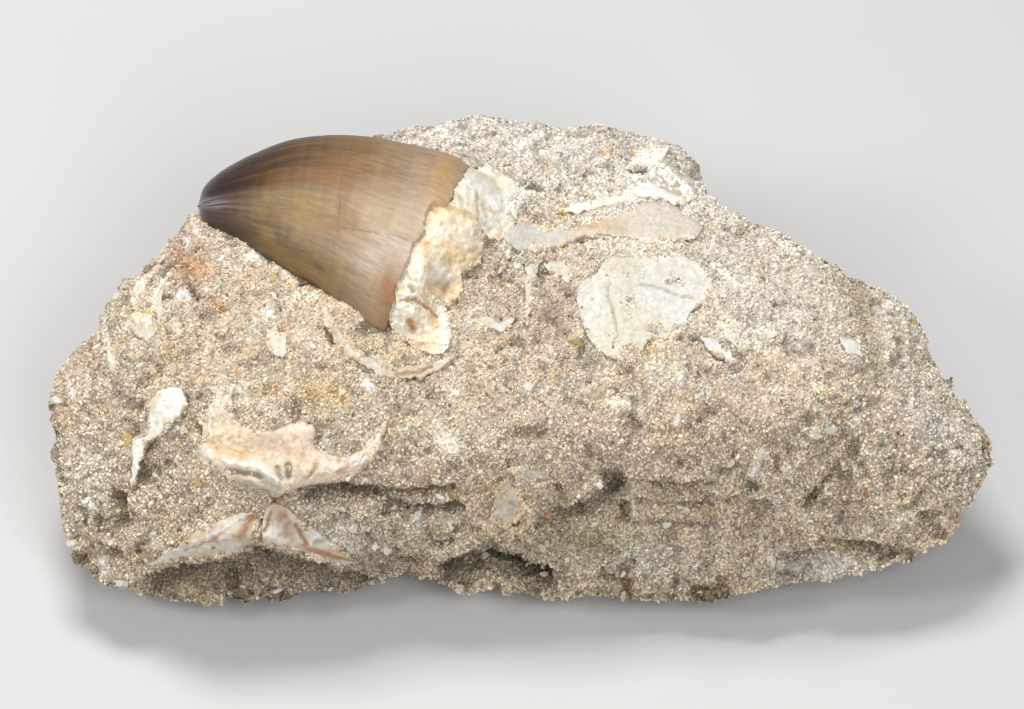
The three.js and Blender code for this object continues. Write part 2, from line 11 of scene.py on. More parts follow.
import bpy
import numpy as np
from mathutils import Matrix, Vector


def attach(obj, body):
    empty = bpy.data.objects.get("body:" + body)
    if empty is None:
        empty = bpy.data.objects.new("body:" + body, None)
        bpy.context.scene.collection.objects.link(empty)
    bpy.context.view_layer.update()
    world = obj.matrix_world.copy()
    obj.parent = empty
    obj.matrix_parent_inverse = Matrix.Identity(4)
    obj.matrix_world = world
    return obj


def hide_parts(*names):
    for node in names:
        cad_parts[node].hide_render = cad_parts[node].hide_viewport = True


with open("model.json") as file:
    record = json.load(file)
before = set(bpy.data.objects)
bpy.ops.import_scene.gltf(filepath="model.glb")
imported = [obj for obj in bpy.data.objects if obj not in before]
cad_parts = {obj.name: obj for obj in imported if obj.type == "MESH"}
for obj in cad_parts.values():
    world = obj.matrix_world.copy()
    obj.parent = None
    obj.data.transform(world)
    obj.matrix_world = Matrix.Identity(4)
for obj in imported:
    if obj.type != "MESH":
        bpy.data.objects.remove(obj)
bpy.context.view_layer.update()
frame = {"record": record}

# %% [markdown]
# ## The sloping map
# The face is laid out on a map that slopes at 50 degrees: across runs along the block, up runs up the slope
# and deep goes square into the block. One could place every piece by hand in X, Y and Z, but a map lets an
# outline be drawn flat, as one sees it, and then laid on the rock.

# %% Place points of the map in space
MAP_SLOPE = math.radians(50)
MAP_LIFT = 16.9
MIDDLE_ACROSS = 1.05
MIDDLE_Y = 1.879
SLOPE_SIN = math.sin(MAP_SLOPE)
SLOPE_COS = math.cos(MAP_SLOPE)
MM = 0.001


def place(across, up, deep):
    """Turns map points into X, Y, Z in millimetres: a turn about X by the slope, then a shift."""
    lifted = up + MAP_LIFT
    return np.stack([
        across - MIDDLE_ACROSS,
        lifted * SLOPE_SIN + deep * SLOPE_COS - MIDDLE_Y,
        lifted * SLOPE_COS - deep * SLOPE_SIN,
    ], axis=-1)


print("the map's middle lies at", place(0.0, 0.0, 0.0).round(1), "mm")

# %% [markdown]
# ## Repeatable roughness
# Stone needs noise at several scales. Blender has noise textures, but noise from a formula gives the same
# value here and in the solids, and it can steer shape and colour together. A lattice of fixed random values
# is blended smoothly between its points.

# %% Noise on a plane and in space


def smooth(share):
    """An S curve from 0 to 1: three squares less two cubes."""
    share = np.clip(share, 0.0, 1.0)
    return share * share * (3 - 2 * share)


def ramp(value, low, high):
    """0 below low, 1 above high, an S curve between."""
    return smooth((value - low) / (high - low))


def lattice(column, row):
    """A fixed random number between -1 and 1 for each lattice point: the fraction of a large sine."""
    spread = np.sin(column * 127.1 + row * 311.7) * 43758.5453
    return 2 * (spread - np.floor(spread)) - 1


def lumpiness(x, y):
    """Lattice values blended across each square."""
    column, row = np.floor(x), np.floor(y)
    sx, sy = smooth(x - column), smooth(y - row)
    below = lattice(column, row) * (1 - sx) + lattice(column + 1, row) * sx
    above = lattice(column, row + 1) * (1 - sx) + lattice(column + 1, row + 1) * sx
    return below * (1 - sy) + above * sy


def noise(points, span, layer=0):
    """Noise in space: lattice values of one cube's eight corners blended, with cubes of side span."""
    scaled = np.asarray(points, float) / span + layer * 17.3
    cell = np.floor(scaled)
    share = smooth(scaled - cell)
    total = np.zeros(scaled.shape[:-1])
    for dx in (0, 1):
        for dy in (0, 1):
            for dz in (0, 1):
                corner = lattice(cell[..., 0] + dx + 57.0 * (cell[..., 2] + dz), cell[..., 1] + dy)
                weight = np.abs(1 - dx - share[..., 0]) * np.abs(1 - dy - share[..., 1])
                total += corner * weight * np.abs(1 - dz - share[..., 2])
    return total


def layered(points, span, layers=3, layer=0):
    """Noise at span, half of it, a quarter and so on, each half as strong as the last."""
    return sum(noise(points, span / 2**k, layer + k) / 2**k for k in range(layers))


print("noise at one point:", float(noise(np.array([[1.0, 2.0, 3.0]]), 2.5)[0]))

# %% [markdown]
# ## The block's outline and broken faces
# A broken stone is a few flat breaks with worn edges. The block's front is the deepest of five sloping
# planes at each place, blended softly where they cross. Hollows, furrows and lumps are then added, and the
# whole is rounded off towards the outline, which is drawn along its upper and its lower edge.

# %% The outline and the faces
UPPER_EDGE = np.array([
    [-69.1, -8], [-67.7, -2.6], [-65.6, 0.4], [-61.6, 3.7], [-60.4, 7], [-58.1, 11.2], [-55, 12.4],
    [-53.2, 14.8], [-49.4, 19.4], [-47.3, 21.4], [-39.3, 24.1], [-31.8, 27.1], [-25.1, 30.4], [-21, 33.1],
    [-15.3, 34.3], [-9.3, 35.5], [-3.3, 36.1], [2.7, 34.9], [7.2, 34.3], [13.5, 34.8], [18.5, 33.3],
    [23.4, 32.2], [25.8, 31], [28.2, 28.5], [29.3, 25], [31.2, 22.4], [35, 20.5], [39.5, 18.4],
    [44.7, 14.9], [48.6, 13], [53.8, 10], [57.2, 8.5], [59.9, 6.5], [62, 3.1], [62.6, 0.4],
    [65, -3.8], [68, -8.3], [70.3, -12.2], [71.2, -15.1],
])
LOWER_EDGE = np.array([
    [-69.1, -8], [-68, -14.3], [-67.3, -20.3], [-66.4, -26.1], [-64.1, -30.9], [-61.1, -33.9],
    [-54.4, -36], [-45.3, -36.6], [-34.8, -35.8], [-25.8, -34.8], [-15, -32.8], [-10.8, -34],
    [-6.3, -36], [-1.8, -35.5], [7.2, -36], [16.2, -36.6], [25.2, -36.4], [35, -35.5],
    [43.2, -33.7], [52.6, -32.5], [56.8, -30.7], [64.3, -28], [66.4, -26.1], [66.5, -23.6],
    [68.8, -22.3], [70.3, -19.6], [71.2, -15.1],
])
# A face: its depth in the middle of the map, and what a millimetre across and one up add to it.
FACETS = {
    "shelf": (-34.8, 0.02, 0.84),
    "display face": (-34.5, -0.03, 0.35),
    "steep front": (-49.3, 0.1, -0.65),
    "right shoulder": (-62.0, 0.55, 0.1),
    "left shoulder": (-60.0, -0.5, -0.05),
}
FACET_BLEND = 1.7
# A hollow: where it is, its half sizes and its depth, which is below 0 for a lump.
HOLLOWS = [
    ((-39, -34), (13, 3.4), 2.0),
    ((12, -28), (7, 3), 2.4),
    ((14.6, -17.9), (1.5, 1.7), 3.6),
    ((-57.6, -24.4), (1.7, 1.4), 3.0),
    ((-59.0, -26.2), (1.1, 1.6), 2.4),
    ((35.5, -19.4), (1.2, 1.1), 2.6),
    ((-26.4, 2.5), (1.5, 1.4), 1.8),
    ((13, 26.5), (2.2, 1.5), 1.6),
    ((27, 28.5), (3.6, 3), 2.4),
    ((45, -31.5), (6.5, 1.8), -1.0),
    ((-4, 18), (8, 12), -6.0),
    ((-8, 17), (3.4, 7), -3.4),
    ((-50, 11), (5, 4), -1.4),
    ((40, 3), (12, 5), -1.2),
    ((-5, -12), (10, 4), -1.3),
]
# A furrow: its path, its half width and its depth, which is below 0 for a ridge.
FURROWS = [
    ([(47.7, -16.6), (43.2, -22.6)], 0.7, 1.6),
    ([(-11.7, -31.2), (-3.9, -27.2), (7.7, -24.1), (13.4, -20.5)], 1.9, -2.3),
    ([(-55, -28.5), (-40, -26.5), (-24, -30.0)], 1.7, -1.8),
    ([(-42.0, -16.5), (-34.5, -18.5), (-25.0, -16.5)], 2.0, -1.2),
]
# A ledge: its path, how far the rock steps in below it, and how far down that reaches.
LEDGES = [
    ([(-56, -32.6), (-52.4, -31.2), (-49.2, -30.2), (-44.9, -29.9), (-41, -29.5), (-38.5, -28.4),
      (-36.3, -28), (-33.8, -28.8), (-30.6, -29.4), (-28.5, -30.3), (-25.8, -31.3), (-21.8, -31.9),
      (-18, -33)], 8.0, 9.0),
    ([(-33, -21), (-31.2, -20.3), (-28, -19.4), (-25, -19.1), (-21.3, -19.7), (-16.8, -20.9), (-10, -21.8),
      (-6, -22)], 3.4, 1.9),
    ([(-12, -31.2), (-10, -30.2), (-7.1, -29.2), (-3.3, -28.2), (0.5, -28.9), (5, -31), (8, -32.6)],
     9.0, 4.5),
    ([(-2, -28.6), (0, -27.6), (4.2, -26), (8, -23), (12, -19.6), (15.5, -17.8), (20, -17.8), (26, -19),
      (33, -20.6), (40, -22.5)], 3.0, 6.5),
    ([(37, -29.6), (41, -28.9), (45.5, -28.1), (52.3, -28.1), (57, -29)], 2.2, 2.4),
]
LEDGE_STEP = 0.9
LEDGE_ENDS = 3.0
# How much painted shade lies below each ledge, from 0 to 1.
LEDGE_SHADING = (0.62, 0.95, 1.0, 0.26, 0.3)
# Lumps all over the front: their size and their height.
LUMPS = ((13.0, 1.3), (5.5, 0.6))
FRONT_ROUNDING = 8
BACK_ROUNDING = 9
BACK_LEAN = 0.16
UNDERSIDE_DROP = 14
print(len(FACETS), "faces and", len(HOLLOWS), "hollows and lumps")
print(len(FURROWS), "furrows and", len(LEDGES), "ledges")

# %% [markdown]
# ## How deep the front lies
# A photograph from one side shows no depth, so it is put back with a few simple shapes. A domed front drops
# away towards the outline, and ledges, hollows and furrows are added where the picture shows their shadows.
# One function gives the depth at any place on the map, so rock, crown and bones agree where they meet.

# %% Depth of the front


def distance_to_path(path, across, up):
    """The least distance to any stretch of the path, each stretch measured square or from its ends."""
    nearest = np.full(np.shape(across), np.inf)
    for (x0, y0), (x1, y1) in zip(path[:-1], path[1:]):
        dx, dy = x1 - x0, y1 - y0
        share = np.clip(((across - x0) * dx + (up - y0) * dy) / (dx * dx + dy * dy), 0, 1)
        nearest = np.minimum(nearest, np.hypot(across - x0 - dx * share, up - y0 - dy * share))
    return nearest


def near_path(path, width, across, up):
    """1 on the path, falling off softly to both sides over the width."""
    return np.exp(-((distance_to_path(path, across, up) / width) ** 2))


def spot(across, up, at, size):
    """A soft round mask: 1 in the middle, falling off over the half sizes."""
    return np.exp(-(((across - at[0]) / size[0]) ** 2) - ((up - at[1]) / size[1]) ** 2)


def outline_distance(across, up):
    """How far a map point lies from the block's outline."""
    return np.minimum(distance_to_path(UPPER_EDGE, across, up), distance_to_path(LOWER_EDGE, across, up))


def rim_depth(across, up):
    """The depth of the sheet through the outline, where front and back meet: a slope, a bend and a wave."""
    wave = 2.4 * lumpiness(across / 11, up / 11 + 20)
    return -15.5 + 0.26 * up - 0.0008 * across * across + wave


def rounded_share(distance, radius):
    """A quarter circle: 0 at the outline and 1 from the radius inwards."""
    left = 1 - np.minimum(1, distance / radius)
    return np.sqrt(1 - left * left)


def ledge_dent(across, up, path, dent, reach):
    """A step down just below the path, which comes back up over the reach, and fades at both ends."""
    x, y = np.array(path).T
    below = np.interp(across, x, y) - up
    window = ramp(across, x[0], x[0] + LEDGE_ENDS) * (1 - ramp(across, x[-1] - LEDGE_ENDS, x[-1]))
    return dent * window * smooth(below / LEDGE_STEP) * np.exp(-((np.maximum(below, 0) / reach) ** 2))


def front_depth(across, up):
    """The faces blended by the logarithm of a sum of exponentials, dents added, then rounded to the rim."""
    across, up = np.asarray(across, float), np.asarray(up, float)
    total = sum(np.exp((level + a * across + b * up) / FACET_BLEND) for level, a, b in FACETS.values())
    depth = np.log(total) * FACET_BLEND
    for at, size, dent in HOLLOWS:
        depth = depth + dent * spot(across, up, at, size)
    for path, width, dent in FURROWS:
        depth = depth + dent * near_path(path, width, across, up)
    for path, dent, reach in LEDGES:
        depth = depth + ledge_dent(across, up, path, dent, reach)
    for span, height in LUMPS:
        depth = depth + height * lumpiness(across / span, up / span)
    rim = rim_depth(across, up)
    return rim + (depth - rim) * rounded_share(outline_distance(across, up), FRONT_ROUNDING)


def back_depth(across, up):
    """The nearer of a leaning back wall and the underside, lumpy, and level where it would pass Z = 0."""
    top = np.interp(across, *UPPER_EDGE.T)
    rim_point = place(across, top, rim_depth(across, top))
    wall_line = rim_point[..., 1] + MIDDLE_Y - BACK_LEAN * rim_point[..., 2]
    lifted = up + MAP_LIFT
    wall = (wall_line - lifted * (SLOPE_SIN - BACK_LEAN * SLOPE_COS)) / (SLOPE_COS + BACK_LEAN * SLOPE_SIN)
    underside = (lifted * SLOPE_COS + UNDERSIDE_DROP) / SLOPE_SIN
    lumps = 2.6 * lumpiness(across / LUMPS[0][0] + 40, up / LUMPS[0][0])
    rim = rim_depth(across, up)
    share = rounded_share(outline_distance(across, up), BACK_ROUNDING)
    depth = rim + (np.maximum(rim, np.minimum(wall, underside)) + lumps - rim) * share
    return np.minimum(depth, lifted * SLOPE_COS / SLOPE_SIN)


print("depth in the middle of the face:", round(float(front_depth(0.0, 0.0)), 2), "mm")

# %% [markdown]
# ## Putting surfaces into meshes
# Each surface is a stack of rings, closed by a point at each end. Quads join neighbouring rings and a fan of
# triangles closes each end, so that nothing is left open. The arrays go straight into the mesh, and colours
# worked out point by point go with them as an attribute.

# %% Rings into a mesh


def ring_faces(rings, sides):
    """Corner numbers of the quads between rings and of the two end fans. Point 0 is the first end."""
    ring, side = np.meshgrid(np.arange(rings - 1), np.arange(sides), indexing="ij")
    here = 1 + ring * sides + side
    beside = 1 + ring * sides + (side + 1) % sides
    quads = np.stack([here, beside, beside + sides, here + sides], -1).reshape(-1, 4)
    turn = np.arange(sides)
    beyond = (turn + 1) % sides
    start = np.stack([0 * turn, 1 + beyond, 1 + turn], -1)
    offset = 1 + (rings - 1) * sides
    finish = np.stack([0 * turn + 1 + rings * sides, offset + turn, offset + beyond], -1)
    return quads, np.concatenate([start, finish])


def put_mesh(name, points, quads, triangles, colours, smooth_faces=True):
    """Fills a new mesh from arrays in millimetres and links its object at the origin."""
    mesh = bpy.data.meshes.new(name)
    mesh.vertices.add(len(points))
    mesh.vertices.foreach_set("co", (points * MM).ravel())
    corners = np.concatenate([quads.ravel(), triangles.ravel()])
    sizes = np.concatenate([np.full(len(quads), 4), np.full(len(triangles), 3)])
    mesh.loops.add(len(corners))
    mesh.loops.foreach_set("vertex_index", corners)
    mesh.polygons.add(len(sizes))
    mesh.polygons.foreach_set("loop_start", np.cumsum(sizes) - sizes)
    mesh.update(calc_edges=True)
    mesh.polygons.foreach_set("use_smooth", np.full(len(sizes), smooth_faces))
    tint = mesh.color_attributes.new("Tint", "FLOAT_COLOR", "POINT")
    tint.data.foreach_set("color", np.column_stack([colours, np.ones(len(colours))]).ravel())
    piece = bpy.data.objects.new(name, mesh)
    bpy.context.scene.collection.objects.link(piece)
    return piece


def outwards(points, quads, triangles):
    """Turns every face round if the enclosed volume comes out negative."""
    a, b, c = (points[triangles[:, k]] for k in range(3))
    volume = np.einsum("ij,ij->", a, np.cross(b, c))
    for first, second, third in ((0, 1, 2), (0, 2, 3)):
        a, b, c = (points[quads[:, k]] for k in (first, second, third))
        volume += np.einsum("ij,ij->", a, np.cross(b, c))
    if volume < 0:
        return quads[:, ::-1], triangles[:, ::-1]
    return quads, triangles


def finish_piece(piece, node, slot, material):
    """Lets a piece ride on the root body, hides the CAD part of the node it stands for, and gives it its
    material.
    """
    piece.data.materials.append(material)
    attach(piece, "root")
    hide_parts(node)
    return piece


print("helpers ready")

# %% [markdown]
# ## Colours
# Colours are named after what they are on the stone. They are mixed point by point: a base, then one layer
# after another, each with a mask between 0 and 1.

# %% Named colours


def srgb(red, green, blue):
    """A screen colour from 0 to 255 as the linear values that Blender mixes."""
    value = np.array([red, green, blue]) / 255
    return np.where(value <= 0.04045, value / 12.92, ((value + 0.055) / 1.055) ** 2.4)


SAND = srgb(216, 201, 180)
PALE_SAND = srgb(232, 226, 218)
SHADE_SAND = srgb(200, 187, 165)
RUST = srgb(196, 146, 98)
OCHRE = srgb(218, 186, 132)
ROSE = srgb(190, 160, 150)
OLIVE = srgb(150, 144, 100)
CREAM = srgb(232, 225, 206)
CHALK = srgb(236, 234, 226)
BONE_TAN = srgb(208, 192, 168)
BONE_BROWN = srgb(160, 124, 90)
CRACK = srgb(176, 156, 118)
GREY_TAN = srgb(178, 163, 142)
SHADOW_BROWN = srgb(96, 78, 54)
# A dark colour for painted shade in recesses under ledges and in hollows.
RECESS_SHADE = srgb(78, 69, 50)
# A dark colour for painted shade in pits and under overhangs.
DEEP_SHADE = srgb(112, 97, 74)
BONE_ROSE = srgb(228, 210, 184)


def mix(colours, colour, mask):
    """Blends a colour, or one for each point, over the colours by the mask."""
    mask = np.clip(mask, 0, 1)[..., None]
    return colours * (1 - mask) + colour * mask


def marked(marks, across, up, colours=None):
    """Adds up the marks' heights at each place, and mixes in their colours where there are colours."""
    height = np.zeros(np.shape(across))
    wobble = 0.22 * lumpiness(across / 0.7, up / 0.7)
    for path, width, rise, colour, strength in marks:
        near = near_path(path, width, across + wobble, up - wobble)
        height = height + rise * near
        if colours is not None:
            colours = mix(colours, colour, strength * near)
    return height, colours


# A stain: its colour, where it is, its half sizes and its strength.
STAINS = [
    (RUST, (-48.4, 12.1), (2.6, 1.3), 0.55),
    (CHALK, (36, 3.5), (3.6, 2.4), 0.5),
    (CHALK, (42.5, 1.2), (2.2, 3.0), 0.5),
    (CHALK, (31, 14.5), (2.6, 3.0), 0.4),
    (CHALK, (61.8, -11.5), (2.2, 2.2), 0.4),
    (PALE_SAND, (16, 29), (5, 2.5), 0.4),
    (CREAM, (-54.2, 4.2), (2.9, 2.2), 0.8),
    (CREAM, (-46.8, 2.2), (0.9, 1.6), 0.7),
    (ROSE, (-49.5, 17), (2.6, 3.6), 0.6),
    (CREAM, (-53.5, 9), (1.6, 4.5), 0.6),
    (ROSE, (6.2, 7.3), (3.0, 4.6), 0.75),
    (OLIVE, (12, -27.5), (8, 3), 0.6),
    (OLIVE, (10.5, -22), (2.5, 3), 0.3),
    (PALE_SAND, (45, -31.8), (8, 1.8), 0.8),
    (OCHRE, (-27, -6.5), (3, 2.2), 0.6),
    (CREAM, (-40, -5.5), (3.5, 1.6), 0.6),
    (OCHRE, (-1, -22), (3, 4), 0.4),
    (GREY_TAN, (26.5, 28.2), (3.2, 3), 0.85),
    (PALE_SAND, (38, 9), (9, 5), 0.55),
    (PALE_SAND, (5, 30), (16, 4), 0.3),
    (PALE_SAND, (22, 25.8), (6, 2.6), 0.8),
    (PALE_SAND, (-10, 33.5), (9, 1.8), 0.6),
    (PALE_SAND, (65, -12), (5, 8), 0.5),
    (OCHRE, (-49, -1), (4, 5), 0.25),
    (CREAM, (-10, -12.8), (2.0, 2.4), 0.6),
    (CREAM, (16, -7.2), (3.6, 1.2), 0.55),
    (OCHRE, (20.5, 0.2), (2.8, 0.9), 0.4),
    (CREAM, (-48.5, -6.5), (3, 2), 0.4),
    (ROSE, (16, -12), (5, 4), 0.2),
    (BONE_TAN, (-17, -3), (6, 2.5), 0.4),
    (OCHRE, (-2, 2.0), (4, 0.9), 0.45),
    (CREAM, (-63, -16), (3, 8), 0.35),
    (PALE_SAND, (50.5, 1.5), (3, 1.5), 0.5),
    # The next two pale patches, low on the front, are painted light on faces that turn down and forward.
    (PALE_SAND, (20.5, -31), (6, 2.6), 0.6),
    (PALE_SAND, (-24.3, -26.3), (4, 3), 0.5),
    (PALE_SAND, (-64, -20), (3, 9), 0.4),
    # painted shade under the overhang at the bottom
    (DEEP_SHADE, (-16.8, -31), (6, 2), 0.6),
    (GREY_TAN, (4, 8), (7, 5), 0.45),
    (GREY_TAN, (50.5, 6), (6, 4), 0.4),
    (OCHRE, (52, 3.5), (1.5, 1.0), 0.3),
]
# A mark: its path on the map, its half width, its height in mm, its colour and how strong that is.
ROCK_MARKS = [
    ([(-52.1, 14.6), (-53.5, 12.4), (-55.3, 9.8), (-56.3, 7.7)], 0.4, 0.75, CREAM, 0.95),
    ([(-50.6, 13.2), (-50.9, 12.4), (-52.4, 9.8), (-53.2, 7.7), (-52.6, 5.3), (-51.4, 3.2)],
     0.38, 0.8, CREAM, 0.95),
    ([(-55.6, 5.4), (-54.2, 4.4), (-53.6, 3.0)], 0.7, 0.4, CREAM, 0.8),
    ([(-52.2, 13.4), (-54.4, 9.4)], 0.3, -0.4, BONE_BROWN, 0.4),
    ([(-60.7, 5.2), (-60.4, 2.5), (-58.9, -2.3)], 0.45, 0.3, CREAM, 0.7),
    ([(-56.4, 5.6), (-53.0, 6.0), (-51.2, 3.0)], 0.35, 0.2, OCHRE, 0.7),
    ([(-48.9, 8.9), (-48.2, 8.6)], 0.7, 0.5, CHALK, 0.9),
    ([(-47.4, 19.4), (-47.3, 18.4)], 0.7, 0.3, CHALK, 0.7),
    ([(-49.6, 17.0), (-48.6, 16.8)], 0.6, 0.3, CHALK, 0.7),
    ([(-35.2, 3.0), (-35.0, 1.4)], 0.7, 0.3, CHALK, 0.8),
    ([(-37.2, 6.2), (-35.6, 6.0)], 0.8, 0.2, CHALK, 0.6),
    ([(-39.4, 14.6), (-38.0, 13.8)], 0.8, 0.3, CHALK, 0.7),
    ([(51.4, 10.7), (52.6, 5.5), (53.9, 0.5), (54.5, -4.5)], 1.5, -0.9, OLIVE, 0.4),
    ([(55.5, 8.0), (56.5, 2.0), (57.5, -5.0), (60.5, -11.0)], 2.0, 0.8, PALE_SAND, 0.3),
    ([(1.2, 31.4), (4.4, 33.2)], 0.5, 0.35, CHALK, 0.8),
    ([(18.6, 29.2), (23.5, 26.4), (25.6, 24.4)], 1.0, 0.4, CHALK, 0.6),
    ([(-2.4, 20.4), (0.6, 22.6), (1.8, 24.2)], 0.6, 0.3, CHALK, 0.7),
    ([(-8.5, 30.0), (-4.6, 28.9), (-1.6, 27.0), (1.0, 25.6)], 0.35, 0.3, CHALK, 0.6),
    ([(-49.5, 14.6), (-47.6, 13.0), (-46.3, 12.5)], 1.5, 0.0, RUST, 0.55),
    ([(-47.6, 10.4), (-46.4, 8.8)], 0.45, -1.2, SHADOW_BROWN, 0.75),
    ([(-44.6, 8.2), (-42.6, 6.4)], 0.7, -0.2, RUST, 0.6),
    ([(22.2, 28.4), (24.6, 26.6), (26.7, 24.4)], 0.8, 0.6, CHALK, 0.85),
    ([(7.5, 21.4), (11.7, 21.7)], 0.7, -0.5, OCHRE, 0.9),
    ([(-6.2, 28.5), (-3.8, 27.6), (-1.8, 26.2)], 0.4, 0.3, CREAM, 0.7),
    ([(4.5, 28.0), (5.2, 28.9)], 0.6, -0.3, RUST, 0.5),
    ([(3.0, 28.5), (4.6, 30.6)], 0.7, 0.3, CREAM, 0.5),
    ([(13.8, 30.7), (15.0, 30.6)], 0.7, 0.0, OCHRE, 0.6),
    ([(-61.0, -30.5), (-60.2, -32.8)], 0.8, 0.3, PALE_SAND, 0.8),
    ([(-63.0, -22.0), (-62.5, -23.4)], 0.8, 0.4, CHALK, 0.9),
    ([(-66.2, -3.5), (-64.8, -6.5)], 0.6, 0.2, PALE_SAND, 0.6),
    ([(26.9, 3.1), (27.2, 2.8)], 0.5, -1.3, SHADOW_BROWN, 0.8),
    ([(-1.2, 12.7), (-0.6, 14.9), (-0.3, 16.3)], 0.32, 0.5, CREAM, 0.8),
    ([(-0.8, 12.6), (-0.1, 14.9)], 0.25, -0.6, SHADOW_BROWN, 0.6),
    ([(-2.7, 0.4), (0.5, 2.2)], 0.35, -1.1, SHADOW_BROWN, 0.6),
    ([(-30.6, -4.7), (-27.6, -6.0), (-25.0, -6.0)], 1.3, 0.1, OCHRE, 0.5),
    ([(-38.1, -5.0), (-35.0, -5.2)], 0.7, -0.2, OCHRE, 0.6),
    ([(-43.5, -6.0), (-40.5, -5.0), (-38.8, -6.5)], 0.8, 0.3, CREAM, 0.6),
    ([(-21.9, -4.2), (-20.9, -4.8)], 0.8, 0.3, CHALK, 0.8),
    ([(-10.5, -11.5), (-9.0, -13.5)], 1.5, 0.25, CREAM, 0.7),
    ([(36.8, -14.3), (35.4, -17.6)], 0.6, 0.3, PALE_SAND, 0.8),
    ([(14.5, -6.5), (18.5, -8.0)], 1.1, 0.25, CREAM, 0.6),
    ([(47.7, -16.6), (43.2, -22.6)], 0.3, -0.6, SHADOW_BROWN, 0.7),
    ([(-18.6, -0.2), (-14.0, 1.2)], 0.6, 0.2, OCHRE, 0.45),
    ([(-46.6, -0.4), (-45.0, 2.2)], 0.8, 0.1, CREAM, 0.4),
    ([(9.0, 25.6), (11.5, 28.6)], 0.5, 0.35, CREAM, 0.5),
    ([(0.5, 22.5), (2.6, 24.6)], 0.9, 0.2, CHALK, 0.6),
    ([(30.2, 13.5), (33.0, 10.4)], 0.7, 0.2, PALE_SAND, 0.6),
    ([(45.6, -27.6), (54.8, -28.9), (59.5, -30.1)], 0.6, -0.9, SHADOW_BROWN, 0.7),
    # painted shade along a dark hollow
    ([(4.2, -24.8), (9.0, -23.4), (14.2, -21.4), (16.0, -18.5)], 1.1, -1.0, RECESS_SHADE, 0.55),
    ([(19.0, -18.8), (25.0, -19.4), (30.0, -18.9)], 0.35, -0.7, SHADOW_BROWN, 0.6),
    ([(18.0, -21.4), (24.5, -22.3), (32.0, -21.9)], 0.35, -0.7, SHADOW_BROWN, 0.5),
    ([(16.0, -24.6), (23.0, -25.5), (31.0, -25.2)], 0.4, -0.6, SHADOW_BROWN, 0.5),
    ([(-31.2, -19.9), (-26.1, -19.2), (-20.0, -20.1), (-14.7, -20.4), (-8.7, -20.2)],
     0.6, -1.4, SHADOW_BROWN, 0.8),
]


def rock_roughness(points):
    """Crumbly lumps at several scales, less sharp pits where a finer noise runs high."""
    lumps = 0.5 * layered(points, 5.0, 2, 20) + 0.42 * layered(points, 2.1, 2, 22)
    lumps = lumps + 0.14 * noise(points, 0.7, 24)
    pits = ramp(noise(points, 1.6, 31), 0.35, 0.75) * 0.75 + ramp(noise(points, 3.3, 33), 0.42, 0.8) * 1.0
    clumps = 0.24 * layered(points, 1.15, 2, 26)
    creases = (1 - ramp(np.abs(noise(points, 2.8, 51)), 0.02, 0.18)) * ramp(noise(points, 6.5, 52), -0.1, 0.4)
    return lumps + clumps - pits - 0.6 * creases


def rock_colours(across, up, points):
    """Sand, paler to the upper right and darker low down as painted shade, with the stains over it and
    painted shade under ledges, in hollows and in pits.
    """
    base = np.broadcast_to(SAND, points.shape)
    pale = ramp(up * 0.9 + across * 0.35 + 9 * layered(points, 9, 3, 5), 4, 34)
    colours = mix(base, PALE_SAND, 0.75 * pale)
    # Painted shade: darker low down, where the front turns away from the light.
    low = ramp(-up - 0.12 * across + 5 * layered(points, 7, 2, 9), 14, 30)
    colours = mix(colours, SHADE_SAND, 0.6 * low)
    warm = ramp(layered(points, 4.2, 3, 41), 0.3, 0.9) * (1 - pale)
    colours = mix(colours, OCHRE, 0.3 * warm)
    cream = ramp(layered(points, 3.0, 3, 44), 0.35, 0.8)
    colours = mix(colours, CREAM, 0.55 * cream * (1 - 0.6 * low))
    colours = mix(colours, CHALK, 0.5 * ramp(layered(points, 2.0, 2, 47), 0.5, 0.9) * (1 - 0.5 * low))
    colours = mix(colours, ROSE, 0.28 * ramp(layered(points, 2.6, 2, 48), 0.45, 0.9))
    for colour, at, size, strength in STAINS:
        ragged = 0.75 + 0.6 * layered(points, 2.2, 3, 3)
        colours = mix(colours, colour, strength * np.clip(spot(across, up, at, size) * ragged * 1.3, 0, 1))
    colours = marked(ROCK_MARKS, across, up, colours)[1]
    # Painted shade: dark colour just below the ledges and in the deepest hollows, where the light does not
    # reach.
    recess_shading = sum(
        ledge_dent(across, up, path, share, 0.8 * reach)
        for (path, _, reach), share in zip(LEDGES, LEDGE_SHADING)
    )
    for at, size, dent in HOLLOWS:
        if dent > 2.5:
            recess_shading = recess_shading + 0.7 * spot(across, up, at, size)
    colours = mix(colours, RECESS_SHADE, 0.85 * smooth(np.clip(recess_shading, 0, 1)))
    # Painted shade: darker in the pits of the roughness, more so low down.
    colours = mix(colours, DEEP_SHADE, (0.5 + 0.25 * low) * ramp(-rock_roughness(points), 0.2, 1.1))
    return colours * (1 + 0.12 * layered(points, 3.0, 3, 12) + 0.14 * noise(points, 1.0, 13))[..., None]


print(len(STAINS), "stains and", len(ROCK_MARKS), "marks on the rock")

# %% [markdown]
# ## The rock
# The block is a ring of points at each station along its length: up the front, then down the back. Stations
# and rows lie closer together near the ends and edges, where the surface turns fastest. Finer roughness is
# then pushed along the surface's own normals, because stone is as rough on a steep side as on a flat one.

# %% The rock's surface
ROCK_STATIONS = 450
FRONT_ROWS = 186
BACK_ROWS = 35


def eased(count, ease):
    """Shares from 0 towards 1, part even and part closer together at both ends."""
    even = np.arange(count) / count
    return even * (1 - ease) + ease * (1 - np.cos(np.pi * even)) / 2


